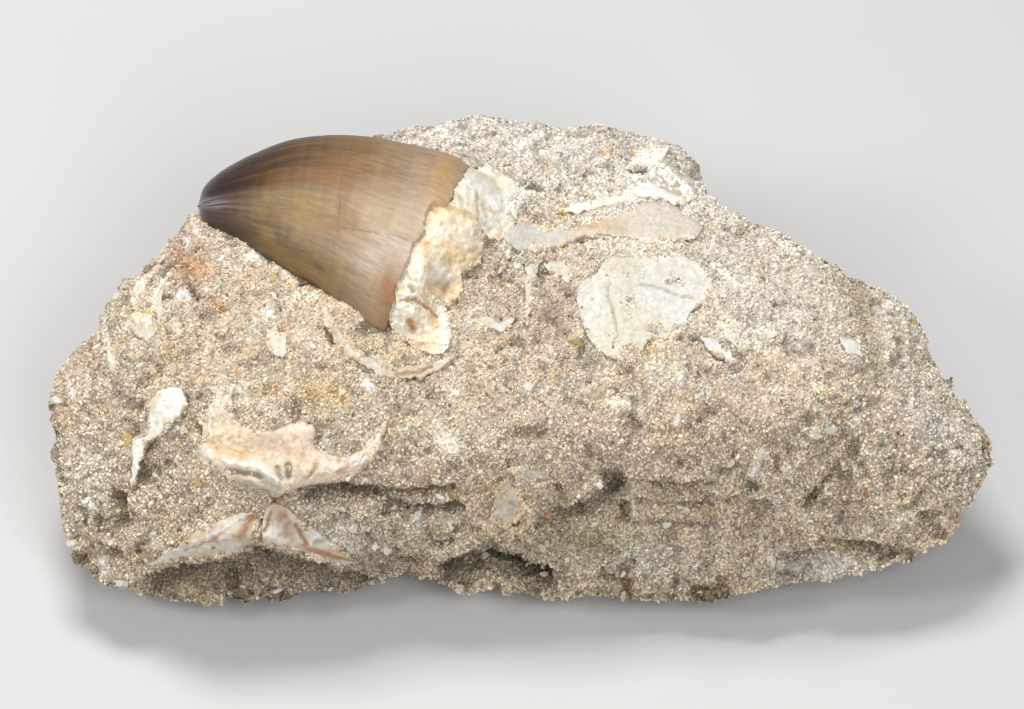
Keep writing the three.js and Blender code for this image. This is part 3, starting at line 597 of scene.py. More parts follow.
stations = eased(ROCK_STATIONS, 0.55)[1:]
left_end, right_end = UPPER_EDGE[0], UPPER_EDGE[-1]
across = (left_end[0] + (right_end[0] - left_end[0]) * stations)[:, None]
ragged_top = 0.35 * lumpiness(across / 2.1, 3.0) + 0.2 * lumpiness(across / 0.9, 7.0)
ragged_low = 0.4 * lumpiness(across / 2.3, 13.0) + 0.2 * lumpiness(across / 0.8, 17.0)
top = np.interp(across, *UPPER_EDGE.T) + ragged_top
bottom = np.interp(across, *LOWER_EDGE.T) + ragged_low
front_up = bottom + (top - bottom) * eased(FRONT_ROWS, 0.6)
back_up = top + (bottom - top) * eased(BACK_ROWS, 0.6)
rock_across = np.broadcast_to(across, (len(stations), FRONT_ROWS + BACK_ROWS))
rock_up = np.concatenate([front_up, back_up], 1)
rock_deep = np.concatenate([
    front_depth(rock_across[:, :FRONT_ROWS], front_up),
    back_depth(rock_across[:, FRONT_ROWS:], back_up),
], 1)
rock_rings = place(rock_across, rock_up, rock_deep)


def unit(vectors):
    """Vectors scaled to a length of 1."""
    return vectors / np.maximum(np.linalg.norm(vectors, axis=-1, keepdims=True), 1e-9)


def ring_normals(rings):
    """Unit normals from the cross product of the steps along and around the rings."""
    along = np.gradient(rings, axis=0)
    around = np.roll(rings, -1, 1) - np.roll(rings, 1, 1)
    return unit(np.cross(around, along))


rock_normals = ring_normals(rock_rings)
towards_viewer = np.array([0.0, -SLOPE_COS, SLOPE_SIN])
middle = rock_normals[len(stations) // 2, FRONT_ROWS // 2]
rock_normals = rock_normals * np.sign(middle @ towards_viewer)
print("rock rings:", rock_rings.shape)

# %% [markdown]
# ## Rough stone
# Sandstone breaks into clumps with pits and thin creases between them. The lumps could be sculpted by hand,
# but a sum of noises at a few sizes gives them everywhere at once, and a list of worn patches and drawn
# marks adds what is particular to this block. The roughness fades to nothing just above the resting face.

# %% Roughen it
# A worn patch: where it is, its half sizes and how smooth it is, from 0 to 1.
SMOOTH_PATCHES = [
    ((26.5, 28), (3.4, 3.0), 0.9),
    ((45, -31.6), (8.5, 1.6), 0.85),
    ((22, 25.5), (5.5, 2.6), 0.6),
    ((42, 9), (8, 4), 0.3),
    ((-6, 32), (14, 3.2), 0.7),
    ((8, 30), (6, 3), 0.5),
]


def smoothness(across, up):
    """How worn the rock is, from 0 to 1: soft spots where it broke or rubbed smooth."""
    worn = np.zeros(np.shape(across))
    for at, size, strength in SMOOTH_PATCHES:
        worn = np.maximum(worn, strength * ramp(spot(across, up, at, size), 0.2, 0.55))
    return worn


def bare_marks(across, up):
    """1 on the slivers of bone that stick up out of the sand, so that few grains are set on them."""
    bare = np.zeros(np.shape(across))
    for path, width, rise, _, strength in ROCK_MARKS:
        if rise > 0.15:
            bare = np.maximum(bare, strength * near_path(path, width, across, up))
    return bare


REST_LEVEL = 0.02
BACK_ROUGHNESS = 0.55
fade = ramp(rock_rings[..., 2], REST_LEVEL, 0.8) * (1 - 0.85 * smoothness(rock_across, rock_up))
raised = rock_roughness(rock_rings) * fade
raised[:, FRONT_ROWS:] *= BACK_ROUGHNESS
raised[:, :FRONT_ROWS] += marked(ROCK_MARKS, rock_across[:, :FRONT_ROWS], front_up)[0]
rock_rings = rock_rings + rock_normals * raised[..., None]
rock_rings[..., 2] = np.maximum(rock_rings[..., 2], 0.0)


def end_point(point):
    """Where the outline's left or right end lies in space: on the sheet between front and back."""
    return place(point[0], point[1], rim_depth(point[0], point[1]))


def rings_to_piece(name, rings, first, last, colours, smooth_faces=True):
    """Closes the rings with their end points and puts them into a mesh."""
    points = np.concatenate([first[None], rings.reshape(-1, 3), last[None]])
    tints = np.concatenate([colours[:1, 0], colours.reshape(-1, 3), colours[-1:, 0]])
    quads, triangles = outwards(points, *ring_faces(*rings.shape[:2]))
    return put_mesh(name, points, quads, triangles, tints, smooth_faces)


# Painted shade: the rock's own surface between the grains is darkened, more so low down.
gap_shade = 0.9 - 0.17 * ramp(-rock_up, -4, 16)
clean_bone = ramp(bare_marks(rock_across, rock_up), 0.15, 0.6)
rock_tints = rock_colours(rock_across, rock_up, rock_rings) * (gap_shade + 0.45 * clean_bone)[..., None]
rock = rings_to_piece("rock", rock_rings, end_point(left_end), end_point(right_end), rock_tints)
print("rock:", len(rock.data.vertices), "points")

# %% [markdown]
# ## Materials of rock, sand and bone
# Everything here reads the colour worked out with the shape and breaks it up with noise in Object
# coordinates, which stay put on the stone. A bump from the same noise gives the last detail, finer than any
# mesh could hold.

# %% A node helper and the dry materials


def node_tools(name):
    """A new material: a function that adds a node to it, and one that feeds its Principled shader."""
    material = bpy.data.materials.new(name)
    material.use_nodes = True
    tree = material.node_tree
    principled = tree.nodes["Principled BSDF"]

    def feed(target, value):
        """Joins another node's output to an input, or sets a plain value there."""
        if isinstance(value, bpy.types.NodeSocket):
            tree.links.new(value, target)
        else:
            target.default_value = value

    def add(kind, output, *values, **named):
        """Adds a node and returns one output. Settings have small letters, and inputs a first capital."""
        node = tree.nodes.new("ShaderNode" + kind)
        for key in filter(str.islower, named):
            setattr(node, key, named[key])
        for target, value in zip(node.inputs, values):
            feed(target, value)
        for key in named:
            if not key.islower():
                feed(node.inputs[key.replace("_", " ")], named[key])
        return node.outputs[output]

    def shade(**named):
        """Feeds the shader's inputs by name, and returns the finished material."""
        for key, value in named.items():
            feed(principled.inputs[key.replace("_", " ")], value)
        return material

    return add, shade


def dry_material(name, speckle_size, speckle_range, rough, bump_height, grain_size):
    """Tint times a fine speckle, with gloss and bump from one noise, as dry stone and old bone have."""
    add, shade = node_tools(name)
    here = add("TexCoord", "Object")
    cells = add("TexVoronoi", "Color", Vector=here, Scale=1 / (speckle_size * MM))
    speckle = add("MapRange", "Result", Value=cells, To_Min=speckle_range[0], To_Max=speckle_range[1])
    fine = add("TexNoise", "Fac", Vector=here, Scale=1 / (grain_size * MM), Detail=4.0, Roughness=0.65)
    dust = add("MapRange", "Result", Value=fine, From_Min=0.3, From_Max=0.7, To_Min=0.88, To_Max=1.1)
    both = add("Math", "Value", speckle, dust, operation="MULTIPLY")
    tint = add("Attribute", "Color", attribute_name="Tint")
    return shade(
        Base_Color=add("VectorMath", "Vector", tint, Scale=both, operation="SCALE"),
        Roughness=add("MapRange", "Result", Value=fine, To_Min=rough - 0.1, To_Max=rough + 0.08),
        Normal=add("Bump", "Normal", Height=fine, Strength=0.7, Distance=bump_height * MM),
        Specular_IOR_Level=0.3,
    )


rock_material = dry_material("Sandy rock", 0.36, (0.34, 1.2), 0.9, 0.4, 0.45)
bone_material = dry_material("Old bone", 0.45, (0.9, 1.05), 0.7, 0.16, 0.5)
finish_piece(rock, "rock_matrix", "sandy_rock", rock_material)
print("dry materials:", rock_material.name, "and", bone_material.name)

# %% [markdown]
# ## Loose grains
# Seen close, the rock is a crust of sand grains 0.3 to 0.45 mm across, tan, cream, brown and a few nearly
# black or glassy. Particles and instances would be lost on export, so each grain is eight small faces in a
# joined mesh. They are scattered over the rock's own quads by area, denser on the faces that show.

# %% Scatter the grains
random = np.random.default_rng(11)
GRAINS_IN_A_PIECE = 24000
GRAIN_PIECES = 4
CRUST_GRAINS = 22000
GRAIN_RADIUS = 0.2
# A kind of grain: its name, its share of all grains and its factors on the rock's colour.
GRAIN_KINDS = [
    ("tan", 0.45, (1.0, 0.97, 0.92)),
    ("cream", 0.28, (1.1, 1.09, 1.07)),
    ("brown", 0.12, (0.66, 0.6, 0.52)),
    ("white", 0.06, (1.24, 1.25, 1.26)),
    ("dark", 0.035, (0.36, 0.32, 0.27)),
    ("honey", 0.055, (0.98, 0.86, 0.66)),
]


def quad_corners(rings):
    """The four corners of every quad between rings, as one array each."""
    beside = np.roll(rings, -1, 1)
    return rings[:-1], beside[:-1], beside[1:], rings[1:]


def draw_places(corners, weight, count):
    """Draws quads by weight and a place on each: the numbers of the quads and the places."""
    chosen = random.choice(len(weight), count, p=weight / weight.sum())
    s, t = random.random((2, count, 1))
    a, b, c, d = (corner[chosen] for corner in corners)
    return chosen, (a * (1 - s) + b * s) * (1 - t) + (d * (1 - s) + c * s) * t


def scatter(count):
    """Random places on the rock by area and weight: centre, normal, and the quad's across and up."""
    a, b, c, d = corners = [corner.reshape(-1, 3) for corner in quad_corners(rock_rings)]
    square = np.cross(c - a, d - b) / 2
    ring, side = np.divmod(np.arange(len(a)), rock_rings.shape[1])
    normal = unit(square)
    normal = normal * np.sign(np.sum(normal * rock_normals[ring, side], 1))[:, None]
    shows = ramp(normal @ towards_viewer, -0.35, 0.1)
    above = ramp(a[:, 2], 0.3, 1.0)
    worn = smoothness(rock_across[ring, side], rock_up[ring, side])
    bare = ramp(bare_marks(rock_across[ring, side], rock_up[ring, side]), 0.2, 0.6)
    area = np.linalg.norm(square, axis=1)
    weight = area * (0.26 + 0.74 * shows) * above * (1 - 0.75 * worn) * (1 - 0.9 * bare)
    chosen, centre = draw_places(corners, weight, count)
    where = ring[chosen], side[chosen]
    return centre, normal[chosen], rock_across[where], rock_up[where]


def random_turns(count):
    """Random rotations, from random unit quaternions."""
    w, x, y, z = (q := random.normal(size=(4, count))) / np.linalg.norm(q, axis=0)
    return np.stack([
        np.stack([1 - 2 * (y * y + z * z), 2 * (x * y - w * z), 2 * (x * z + w * y)], -1),
        np.stack([2 * (x * y + w * z), 1 - 2 * (x * x + z * z), 2 * (y * z - w * x)], -1),
        np.stack([2 * (x * z - w * y), 2 * (y * z + w * x), 1 - 2 * (x * x + y * y)], -1),
    ], 1)


OCTAHEDRON = np.array([[1, 0, 0], [-1, 0, 0], [0, 1, 0], [0, -1, 0], [0, 0, 1], [0, 0, -1]], float)
OCTAHEDRON_FACES = np.array([
    [0, 2, 4], [2, 1, 4], [1, 3, 4], [3, 0, 4], [2, 0, 5], [1, 2, 5], [3, 1, 5], [0, 3, 5],
])


def grain_mesh(name, centre, normal, grain_across, grain_up, size=1.0):
    """Octahedra turned at random, each corner drawn in or out, half sunk in the rock."""
    count, tips = len(centre), len(OCTAHEDRON)
    radius = size * GRAIN_RADIUS * np.exp(0.28 * random.normal(size=count))
    reach = radius[:, None] * (1 + 0.22 * random.normal(size=(count, tips)).clip(-1.5, 1.5))
    corners = np.einsum("nij,kj->nki", random_turns(count), OCTAHEDRON) * reach[..., None]
    centre = centre + normal * (radius * random.uniform(-0.35, 0.35, count))[:, None]
    points = (corners + centre[:, None]).reshape(-1, 3)
    points[:, 2] = np.maximum(points[:, 2], 0.0)
    faces = (OCTAHEDRON_FACES[None] + tips * np.arange(count)[:, None, None]).reshape(-1, 3)
    kind = random.choice(len(GRAIN_KINDS), count, p=[share for _, share, _ in GRAIN_KINDS])
    factor = np.array([tone for _, _, tone in GRAIN_KINDS])[kind]
    # The grains take the rock's colours, painted shade included.
    tints = rock_colours(grain_across, grain_up, centre) * factor
    tints = np.clip(tints * np.exp(0.14 * random.normal(size=(count, 1))), 0, 0.92)
    no_quads = np.zeros((0, 4), int)
    return put_mesh(name, points, no_quads, faces, np.repeat(tints, tips, 0), smooth_faces=False)


def grain_material():
    """Quartz and phosphate sand: the grain's own tint, part dull and part glinting."""
    add, shade = node_tools("Sand grains")
    cells = add("TexNoise", "Fac", Vector=add("TexCoord", "Object"), Scale=1 / (0.6 * MM), Detail=1.0)
    gloss = add("MapRange", "Result", Value=cells, From_Min=0.35, From_Max=0.65, To_Min=0.35, To_Max=0.85)
    tint = add("Attribute", "Color", attribute_name="Tint")
    return shade(Base_Color=tint, Roughness=gloss, Specular_IOR_Level=0.45)


sand_material = grain_material()
for number in range(GRAIN_PIECES):
    grains = grain_mesh(f"sand_grains_{number + 1}", *scatter(GRAINS_IN_A_PIECE))
    finish_piece(grains, "rock_matrix", "sandy_rock", sand_material)
print(GRAIN_PIECES * GRAINS_IN_A_PIECE, "grains in", GRAIN_PIECES, "meshes")

# %% [markdown]
# ## Crumbs of bone
# Small chips of fossil bone lie all through the rock, cream, white and ochre. Each is a flat six-sided chip
# of random length, lying nearly flat on the surface. A few hundred of them break up the even sand.

# %% Scatter the crumbs
CRUMBS = 760
CRUMB_LENGTH = 0.5
CRUMB_TONES = np.array([CREAM, CHALK, OCHRE * 0.9, BONE_TAN, ROSE, BONE_BROWN])
CRUMB_SHARES = (0.3, 0.3, 0.12, 0.18, 0.05, 0.05)
CHIP_SIDES = 6
# Ovals over the large bones, where no crumbs lie: the middle and the half sizes.
BARE_OVALS = [((20, 7.5), (11, 8.5)), ((20, 20), (11, 4)), ((-33, -13), (14, 7)), ((-6, 16), (7, 15))]


def chip_mesh(name, centre, normal):
    """Chips with an upper and a lower ring of six corners each, on axes along, beside and out of the rock."""
    count = len(centre)
    along = unit(np.cross(normal, random.normal(size=(count, 3))))
    beside = np.cross(normal, along)
    length = CRUMB_LENGTH * np.exp(0.5 * random.normal(size=count)).clip(0.5, 2.6)
    width = length * random.uniform(0.3, 0.75, count)
    around = np.arange(CHIP_SIDES) * 2 * np.pi / CHIP_SIDES
    uneven = random.uniform(0.75, 1.2, (count, CHIP_SIDES))
    flat = (
        along[:, None] * (length[:, None] * uneven * np.cos(around))[..., None]
        + beside[:, None] * (width[:, None] * uneven * np.sin(around))[..., None]
    )
    height = (0.14 + 0.16 * width)[:, None, None] * normal[:, None]
    upper = centre[:, None] + 0.8 * flat + height
    lower = centre[:, None] + flat - 2 * height
    points = np.concatenate([upper, lower], 1).reshape(-1, 3)
    points[:, 2] = np.maximum(points[:, 2], 0.0)
    side = np.arange(CHIP_SIDES)
    beyond = (side + 1) % CHIP_SIDES
    quads = np.stack([side, side + CHIP_SIDES, beyond + CHIP_SIDES, beyond], -1)
    caps = np.array([[0, k, k + 1] for k in range(1, CHIP_SIDES - 1)])
    triangles = np.concatenate([caps, caps[:, ::-1] + CHIP_SIDES])
    start = 2 * CHIP_SIDES * np.arange(count)[:, None, None]
    kind = random.choice(len(CRUMB_TONES), count, p=CRUMB_SHARES)
    tints = 0.8 * CRUMB_TONES[kind] * np.exp(0.12 * random.normal(size=(count, 1)))
    quads, triangles = (quads + start).reshape(-1, 4), (triangles + start).reshape(-1, 3)
    tints = np.repeat(tints, 2 * CHIP_SIDES, 0)
    return put_mesh(name, points, *outwards(points, quads, triangles), tints, smooth_faces=False)


def clear_of_bones(x, y):
    """True where no large bone covers the rock."""
    covered = [spot(x, y, at, size) for at, size in BARE_OVALS]
    return np.max(covered, 0) < math.exp(-1)


crumb_centre, crumb_normal, crumb_x, crumb_y = scatter(CRUMBS)
bare = clear_of_bones(crumb_x, crumb_y)
crumbs = chip_mesh("bone_crumbs", crumb_centre[bare], crumb_normal[bare])
finish_piece(crumbs, "rock_matrix", "sandy_rock", bone_material)
print(len(crumbs.data.vertices) // (2 * CHIP_SIDES), "crumbs")

# %% [markdown]
# ## The tooth crown
# A mosasaur's crown is a curved cone, oval in section, with fine grooves from base to tip and a weak cutting
# edge down its side. It is a stack of half-oval arches between its upper outline and the line where it meets
# the rock. Its colour runs from beige at the base to purple-brown at the tip, so the colours are worked out
# from the same two parameters as the shape: the share along it and the share across it.

# %% Smooth curves through points


def smooth_path(path, count):
    """A cubic curve through given points, each tangent set by its neighbours, in even steps."""
    path = np.asarray(path, float)
    gaps = np.linalg.norm(np.diff(path, axis=0), axis=1)
    knots = np.concatenate([[0], np.cumsum(gaps)])
    tangents = np.gradient(path, knots, axis=0)
    where = np.linspace(0, knots[-1], count)
    left = np.clip(np.searchsorted(knots, where, side="right") - 1, 0, len(path) - 2)
    gap = gaps[left][:, None]
    t = ((where - knots[left])[:, None]) / gap
    start, end = path[left], path[left + 1]
    pull_out, pull_in = tangents[left] * gap, tangents[left + 1] * gap
    return (
        (2 * t**3 - 3 * t**2 + 1) * start + (t**3 - 2 * t**2 + t) * pull_out
        + (3 * t**2 - 2 * t**3) * end + (t**3 - t**2) * pull_in
    )


CROWN_UPPER = [
    (-47.3, 22.3), (-46.4, 25.2), (-44.6, 27), (-41.6, 28.9), (-37.8, 30.7), (-34.1, 32.1), (-30.3, 32.8),
    (-25.8, 33), (-21.3, 32.7), (-16.8, 31.9), (-12.3, 30.9), (-9.3, 30), (-6.3, 28.2),
]
CROWN_LOWER = [
    (-47.3, 22.3), (-46.4, 20.1), (-43.8, 18.8), (-40.8, 17.4), (-38.4, 15.7), (-35.4, 13.9), (-32.4, 12.2),
    (-29.4, 10.7), (-27.3, 9.2), (-24.3, 7.1), (-21.3, 5.0), (-18.3, 3.6),
]
CROWN_ARCH = 0.7
CROWN_BURIED = 0.35
CROWN_RISE = 0.6
CROWN_STEPS = 400
ARCH_STEPS = 200
BURIED_STEPS = 30
print("crown base on the map:", round(math.dist(CROWN_UPPER[-1], CROWN_LOWER[-1]), 1), "mm wide")

# %% [markdown]
# ## Half-oval arches
# At every step along the crown a half oval rises from the lower outline, passes nearest to the viewer in the
# middle and comes down at the upper outline, and a flat run closes it inside the rock. Fine grooves wander
# along it. A turned solid would be simpler, but this crown is curved and wider on one side of its ridge.

# %% The crown's surface
crown_upper = smooth_path(CROWN_UPPER, CROWN_STEPS + 1)[1:]
crown_lower = smooth_path(CROWN_LOWER, CROWN_STEPS + 1)[1:]
span = np.linalg.norm(crown_upper - crown_lower, axis=1)
side = (crown_upper - crown_lower) / span[:, None]
arch_reach = math.hypot(SLOPE_SIN, CROWN_ARCH * SLOPE_COS)
half_width = span / (SLOPE_SIN + arch_reach)
centre = crown_lower + side * (half_width * SLOPE_SIN)[:, None]
along = np.linspace(0, 1, CROWN_STEPS + 1)[1:]
raw_foot = front_depth(crown_lower[:, 0], crown_lower[:, 1])
foot = np.polyval(np.polyfit(along, raw_foot, 3), along) - CROWN_RISE * np.minimum(1, span / 8)

turn = np.concatenate([
    np.linspace(0, np.pi, ARCH_STEPS, endpoint=False),
    np.linspace(np.pi, 2 * np.pi, BURIED_STEPS, endpoint=False),
])
arch = np.where(np.sin(turn) > 0, CROWN_ARCH, CROWN_BURIED)
share_across = turn / np.pi
CROWN_LENGTH = 38.0
# The broken base: the seen share across the crown, and how far the enamel goes on there in mm.
BROKEN_BASE = [
    (0, -0.3), (0.1, -0.6), (0.22, -1.5), (0.34, -1.6), (0.48, -1.75), (0.53, -1.3), (0.62, -1.8),
    (0.69, -2.3), (0.74, -1.7), (0.765, -0.1), (1, 0),
]


def seen_share(angle, height):
    """Where a place on the arch is seen, from 0 at the lower outline to 1 at the upper."""
    return (SLOPE_SIN * (1 - np.cos(angle)) + np.sin(angle) * height * SLOPE_COS) / (SLOPE_SIN + arch_reach)


def crown_relief(s, a):
    """Height of the enamel's relief in mm: a weak cutting edge, long grooves and growth rings."""
    edge = 0.2 * np.exp(-(((a - 0.37) / 0.018) ** 2)) * ramp(s, 0.0, 0.1) * (1 - ramp(s, 0.3, 0.62))
    wander = a + 0.006 * np.sin(9 * s)
    grooves = 0.020 * lumpiness(wander * 62, s * 5.0) + 0.012 * lumpiness(wander * 150 + 30, s * 14.0)
    facets = 0.10 * lumpiness(wander * 9 + 3, s * 1.3)
    rings = 0.02 * lumpiness(s * 46 + 1.5 * a, 4 * a)
    return (edge + grooves + rings + facets) * ramp(s, 0.0, 0.05)


base_seen = seen_share(turn, CROWN_ARCH)
chips = 0.25 * lumpiness(share_across * 60, 5.0) + 0.15 * lumpiness(share_across * 140, 9.0)
base_share = 1 + (np.interp(base_seen, *np.array(BROKEN_BASE).T) + chips - 0.3) / CROWN_LENGTH
S = along[:, None] * np.minimum(base_share, 1.0)[None, :]
A = np.broadcast_to(share_across, S.shape)


def along_crown(values):
    """Reads a value known at each station at any share along the crown."""
    return np.interp(S, along, values)


relief = np.where(A < 1, crown_relief(S, A), 0.0)
away = -np.cos(turn) * (along_crown(half_width) + relief)
lift = np.sin(turn) * (along_crown(half_width) * arch + relief)
out = away * SLOPE_SIN + lift * SLOPE_COS
deep = along_crown(foot) + along_crown(half_width) * SLOPE_COS + away * SLOPE_COS - lift * SLOPE_SIN
crown_across = along_crown(centre[:, 0]) + along_crown(side[:, 0]) * out
crown_up = along_crown(centre[:, 1]) + along_crown(side[:, 1]) * out
crown_rings = place(crown_across, crown_up, deep)
print("crown rings:", crown_rings.shape)

# %% [markdown]
# ## Colours of the enamel
# The crown darkens from beige to plum brown, and differently above, along the middle and below. Three short
# runs of named colours cover that, joined softly, with streaks, patches, a rust stain and hairline cracks
# mixed over them. A painted picture could do it too, but this way the colours stay tied to the shape.

# %% The crown's colours
TIP_DARK = srgb(64, 54, 58)
# Stops from the tip to the base: the share along the crown and the colour there.
UPPER_TONES = [
    (0.0, srgb(52, 42, 46)), (0.18, srgb(66, 53, 49)), (0.34, srgb(86, 64, 47)), (0.5, srgb(124, 97, 68)),
    (0.66, srgb(156, 128, 94)), (0.84, srgb(190, 168, 146)), (1.0, srgb(198, 176, 150)),
]
MIDDLE_TONES = [
    (0.0, TIP_DARK), (0.1, srgb(80, 70, 72)), (0.22, srgb(116, 101, 88)), (0.36, srgb(158, 137, 108)),
    (0.56, srgb(172, 147, 110)), (0.74, srgb(188, 166, 138)), (0.9, srgb(206, 184, 156)),
    (1.0, srgb(204, 180, 150)),
]
LOWER_TONES = [
    (0.0, TIP_DARK), (0.18, srgb(80, 66, 62)), (0.36, srgb(100, 82, 70)), (0.56, srgb(132, 108, 88)),
    (0.75, srgb(162, 142, 122)), (0.93, srgb(200, 178, 150)), (1.0, srgb(190, 166, 136)),
]
HONEY_BAND = srgb(218, 180, 120)
# painted highlight colour for the tip
TIP_GLINT = srgb(172, 164, 180)
HONEY_PATCH = srgb(184, 156, 100)
ORANGE_STREAK = srgb(150, 106, 62)
WARM_STREAK = srgb(150, 110, 70)
DARK_STREAK = srgb(84, 60, 44)
PALE_ENAMEL = srgb(224, 216, 208)
RUST_SPOT = srgb(164, 110, 64)
HAIRLINE = srgb(72, 52, 38)
# A crack in the enamel: its path, its half width and its strength.
CROWN_CRACKS = [
    ([(-25.4, 26.6), (-25.7, 24.0), (-25.5, 21.8), (-25.9, 19.4), (-25.6, 17.8)], 0.08, 0.3),
    ([(-25.7, 22.6), (-25.6, 20.8)], 0.12, 0.3),
    ([(-26.6, 17.6), (-26.2, 15.6), (-26.6, 13.4)], 0.07, 0.26),
    ([(-22.0, 12.0), (-20.4, 10.8), (-20.9, 9.2), (-19.2, 8.0)], 0.06, 0.2),
    ([(-23.4, 10.4), (-21.6, 9.6), (-20.8, 7.4)], 0.06, 0.2),
    ([(-20.4, 10.8), (-18.2, 11.4)], 0.06, 0.2),
    ([(-20.8, 7.4), (-19.6, 6.2)], 0.06, 0.2),
    ([(-25.1, 18.8), (-21.3, 18.2), (-19.1, 17.8), (-17.1, 17.5), (-13.1, 16.1)], 0.08, 0.42),
    ([(-40.8, 26.6), (-40.1, 26.0)], 0.09, 0.5),
    ([(-33, 13.5), (-30.4, 11.2)], 0.07, 0.4),
]
CROWN_CHIPS = [(-19.1, 17.9), (-18.6, 17.6), (-17.6, 17.4)]
ENAMEL_TONE = np.array([0.66, 0.61, 0.54])


def tone_along(s, stops):
    """A colour that runs straight from stop to stop along the crown."""
    shares, tones = zip(*stops)
    return np.stack([np.interp(s, shares, [tone[k] for tone in tones]) for k in range(3)], -1)


def crown_colours(s, a, seen, x, y):
    """Three runs of colour, above, along the middle and below, joined where they are seen to meet."""
    streak = lumpiness(a * 46 + 0.4 * np.sin(7 * s), s * 5.0)
    fine = lumpiness(a * 130 + 9, s * 16.0)
    bands = lumpiness(s * 55 + 2.0 * a, 5 * a + 5)
    shift = np.clip(s + 0.03 * streak + 0.014 * fine + 0.012 * bands, 0, 1)
    base = tone_along(shift, MIDDLE_TONES)
    # Partly the enamel's own colour and partly painted reflection: darker above the ridge, where that facet
    # turns from the lamps, and greyer below, where it faces the viewer.
    base = mix(base, tone_along(shift, UPPER_TONES), ramp(seen + 0.02 * streak, 0.5, 0.56 + 0.3 * s))
    base = mix(base, tone_along(shift, LOWER_TONES), 1 - ramp(seen + 0.02 * streak, 0.08, 0.42))
    above = ramp(seen, 0.5, 0.62)
    base = mix(base, WARM_STREAK, 0.4 * ramp(streak, 0.3, 0.8) * above * ramp(s, 0.12, 0.3))
    base = mix(base, DARK_STREAK, 0.35 * ramp(-streak, 0.2, 0.8) * above * (1 - ramp(s, 0.5, 0.8)))
    honey = ramp(shift, 0.885, 0.92) * (1 - ramp(shift, 0.945, 0.98)) * ramp(seen, 0.55, 0.75)
    base = mix(base, HONEY_BAND, 0.6 * honey)
    patch = lumpiness(s * 7 + 2.3, a * 9 + 0.7) + 0.5 * lumpiness(s * 16, a * 22)
    body = ramp(s, 0.22, 0.4) * (1 - ramp(s, 0.68, 0.84)) * (1 - ramp(seen, 0.72, 0.88))
    base = mix(base, HONEY_PATCH, 0.45 * ramp(patch, 0.1, 0.8) * body)
    base = mix(base, ORANGE_STREAK, 0.4 * ramp(-patch + 0.5 * streak, 0.3, 1.0) * body)
    # Painted highlight: a pale lilac glint near the tip, where the lamp's reflection falls.
    tip_glint = np.clip(spot(x, y, (-45.0, 22.6), (2.2, 0.9)) * (0.9 + 0.9 * fine + 0.5 * streak), 0, 1)
    base = mix(base, TIP_GLINT, 0.75 * tip_glint)
    base = mix(base, RUST_SPOT, 0.6 * spot(x, y, (-31, 27), (1.6, 0.5)))
    base = mix(base, RUST_SPOT, 0.5 * spot(x, y, (-27.3, 26.4), (1.3, 0.6)))
    pale = np.clip(spot(x, y, (-17.6, 14.4), (4.6, 3.4)) * (1.1 + 0.5 * streak + 0.3 * fine), 0, 1)
    base = mix(base, PALE_ENAMEL, 0.75 * pale)
    base = mix(base, PALE_ENAMEL, 0.35 * spot(x, y, (-13.6, 21.0), (2.4, 3.6)))
    rust = np.clip(spot(x, y, (-18.0, 8.6), (1.7, 4.8)) * (1.2 + 0.6 * streak + 0.4 * fine), 0, 1)
    base = mix(base, RUST_SPOT, 0.75 * rust)
    for path, width, strength in CROWN_CRACKS:
        wobble = 0.12 * lumpiness(x / 0.5, y / 0.5)
        base = mix(base, HAIRLINE, strength * near_path(path, width, x + wobble, y + wobble))
    for at in CROWN_CHIPS:
        base = mix(base, CHALK, 0.8 * spot(x, y, at, (0.3, 0.16)))
    return ENAMEL_TONE * base * (1 + 0.07 * streak + 0.09 * fine + 0.05 * bands)[..., None]


tip_deep = front_depth(-46.4, 20.0) - CROWN_RISE
crown_tip = place(*CROWN_UPPER[0], tip_deep)
BASE_REACH = 0.3
end_x, end_y = centre[-1] + BASE_REACH * np.array([side[-1, 1], -side[-1, 0]])
crown_end = place(end_x, end_y, float(foot[-1] + half_width[-1] * SLOPE_COS))
highest = int(np.argmax(base_seen))
seen_once = np.where(np.arange(len(turn)) < highest, base_seen, 1.0)
seen_once[ARCH_STEPS:] = 0.0
crown_tints = crown_colours(S, A, np.broadcast_to(seen_once, S.shape), crown_across, crown_up)
crown = rings_to_piece("crown", crown_rings, crown_tip, crown_end, crown_tints)
print("crown:", len(crown.data.polygons), "faces")

# %% [markdown]
# ## Enamel
# Enamel is hard, slightly see-through and polished, so it has a clear coat over a softer gloss. The streaks
# are stretched along the tooth in its own UV map, because they follow its growth and not the space around it.

# %% The enamel's UV map and material


def add_uv(piece, u, v):
    """A UV map from one value for each point, read at each corner."""
    mesh = piece.data
    corner = np.empty(len(mesh.loops), int)
    mesh.loops.foreach_get("vertex_index", corner)
    values = np.zeros((len(mesh.vertices), 2))
    values[1:-1, 0] = u.ravel()
    values[1:-1, 1] = v.ravel()
    values[0] = (u.min(), 0.5)
    values[-1] = (u.max(), 0.5)
    layer = mesh.uv_layers.new(name="Growth")
    layer.data.foreach_set("uv", values[corner].ravel())


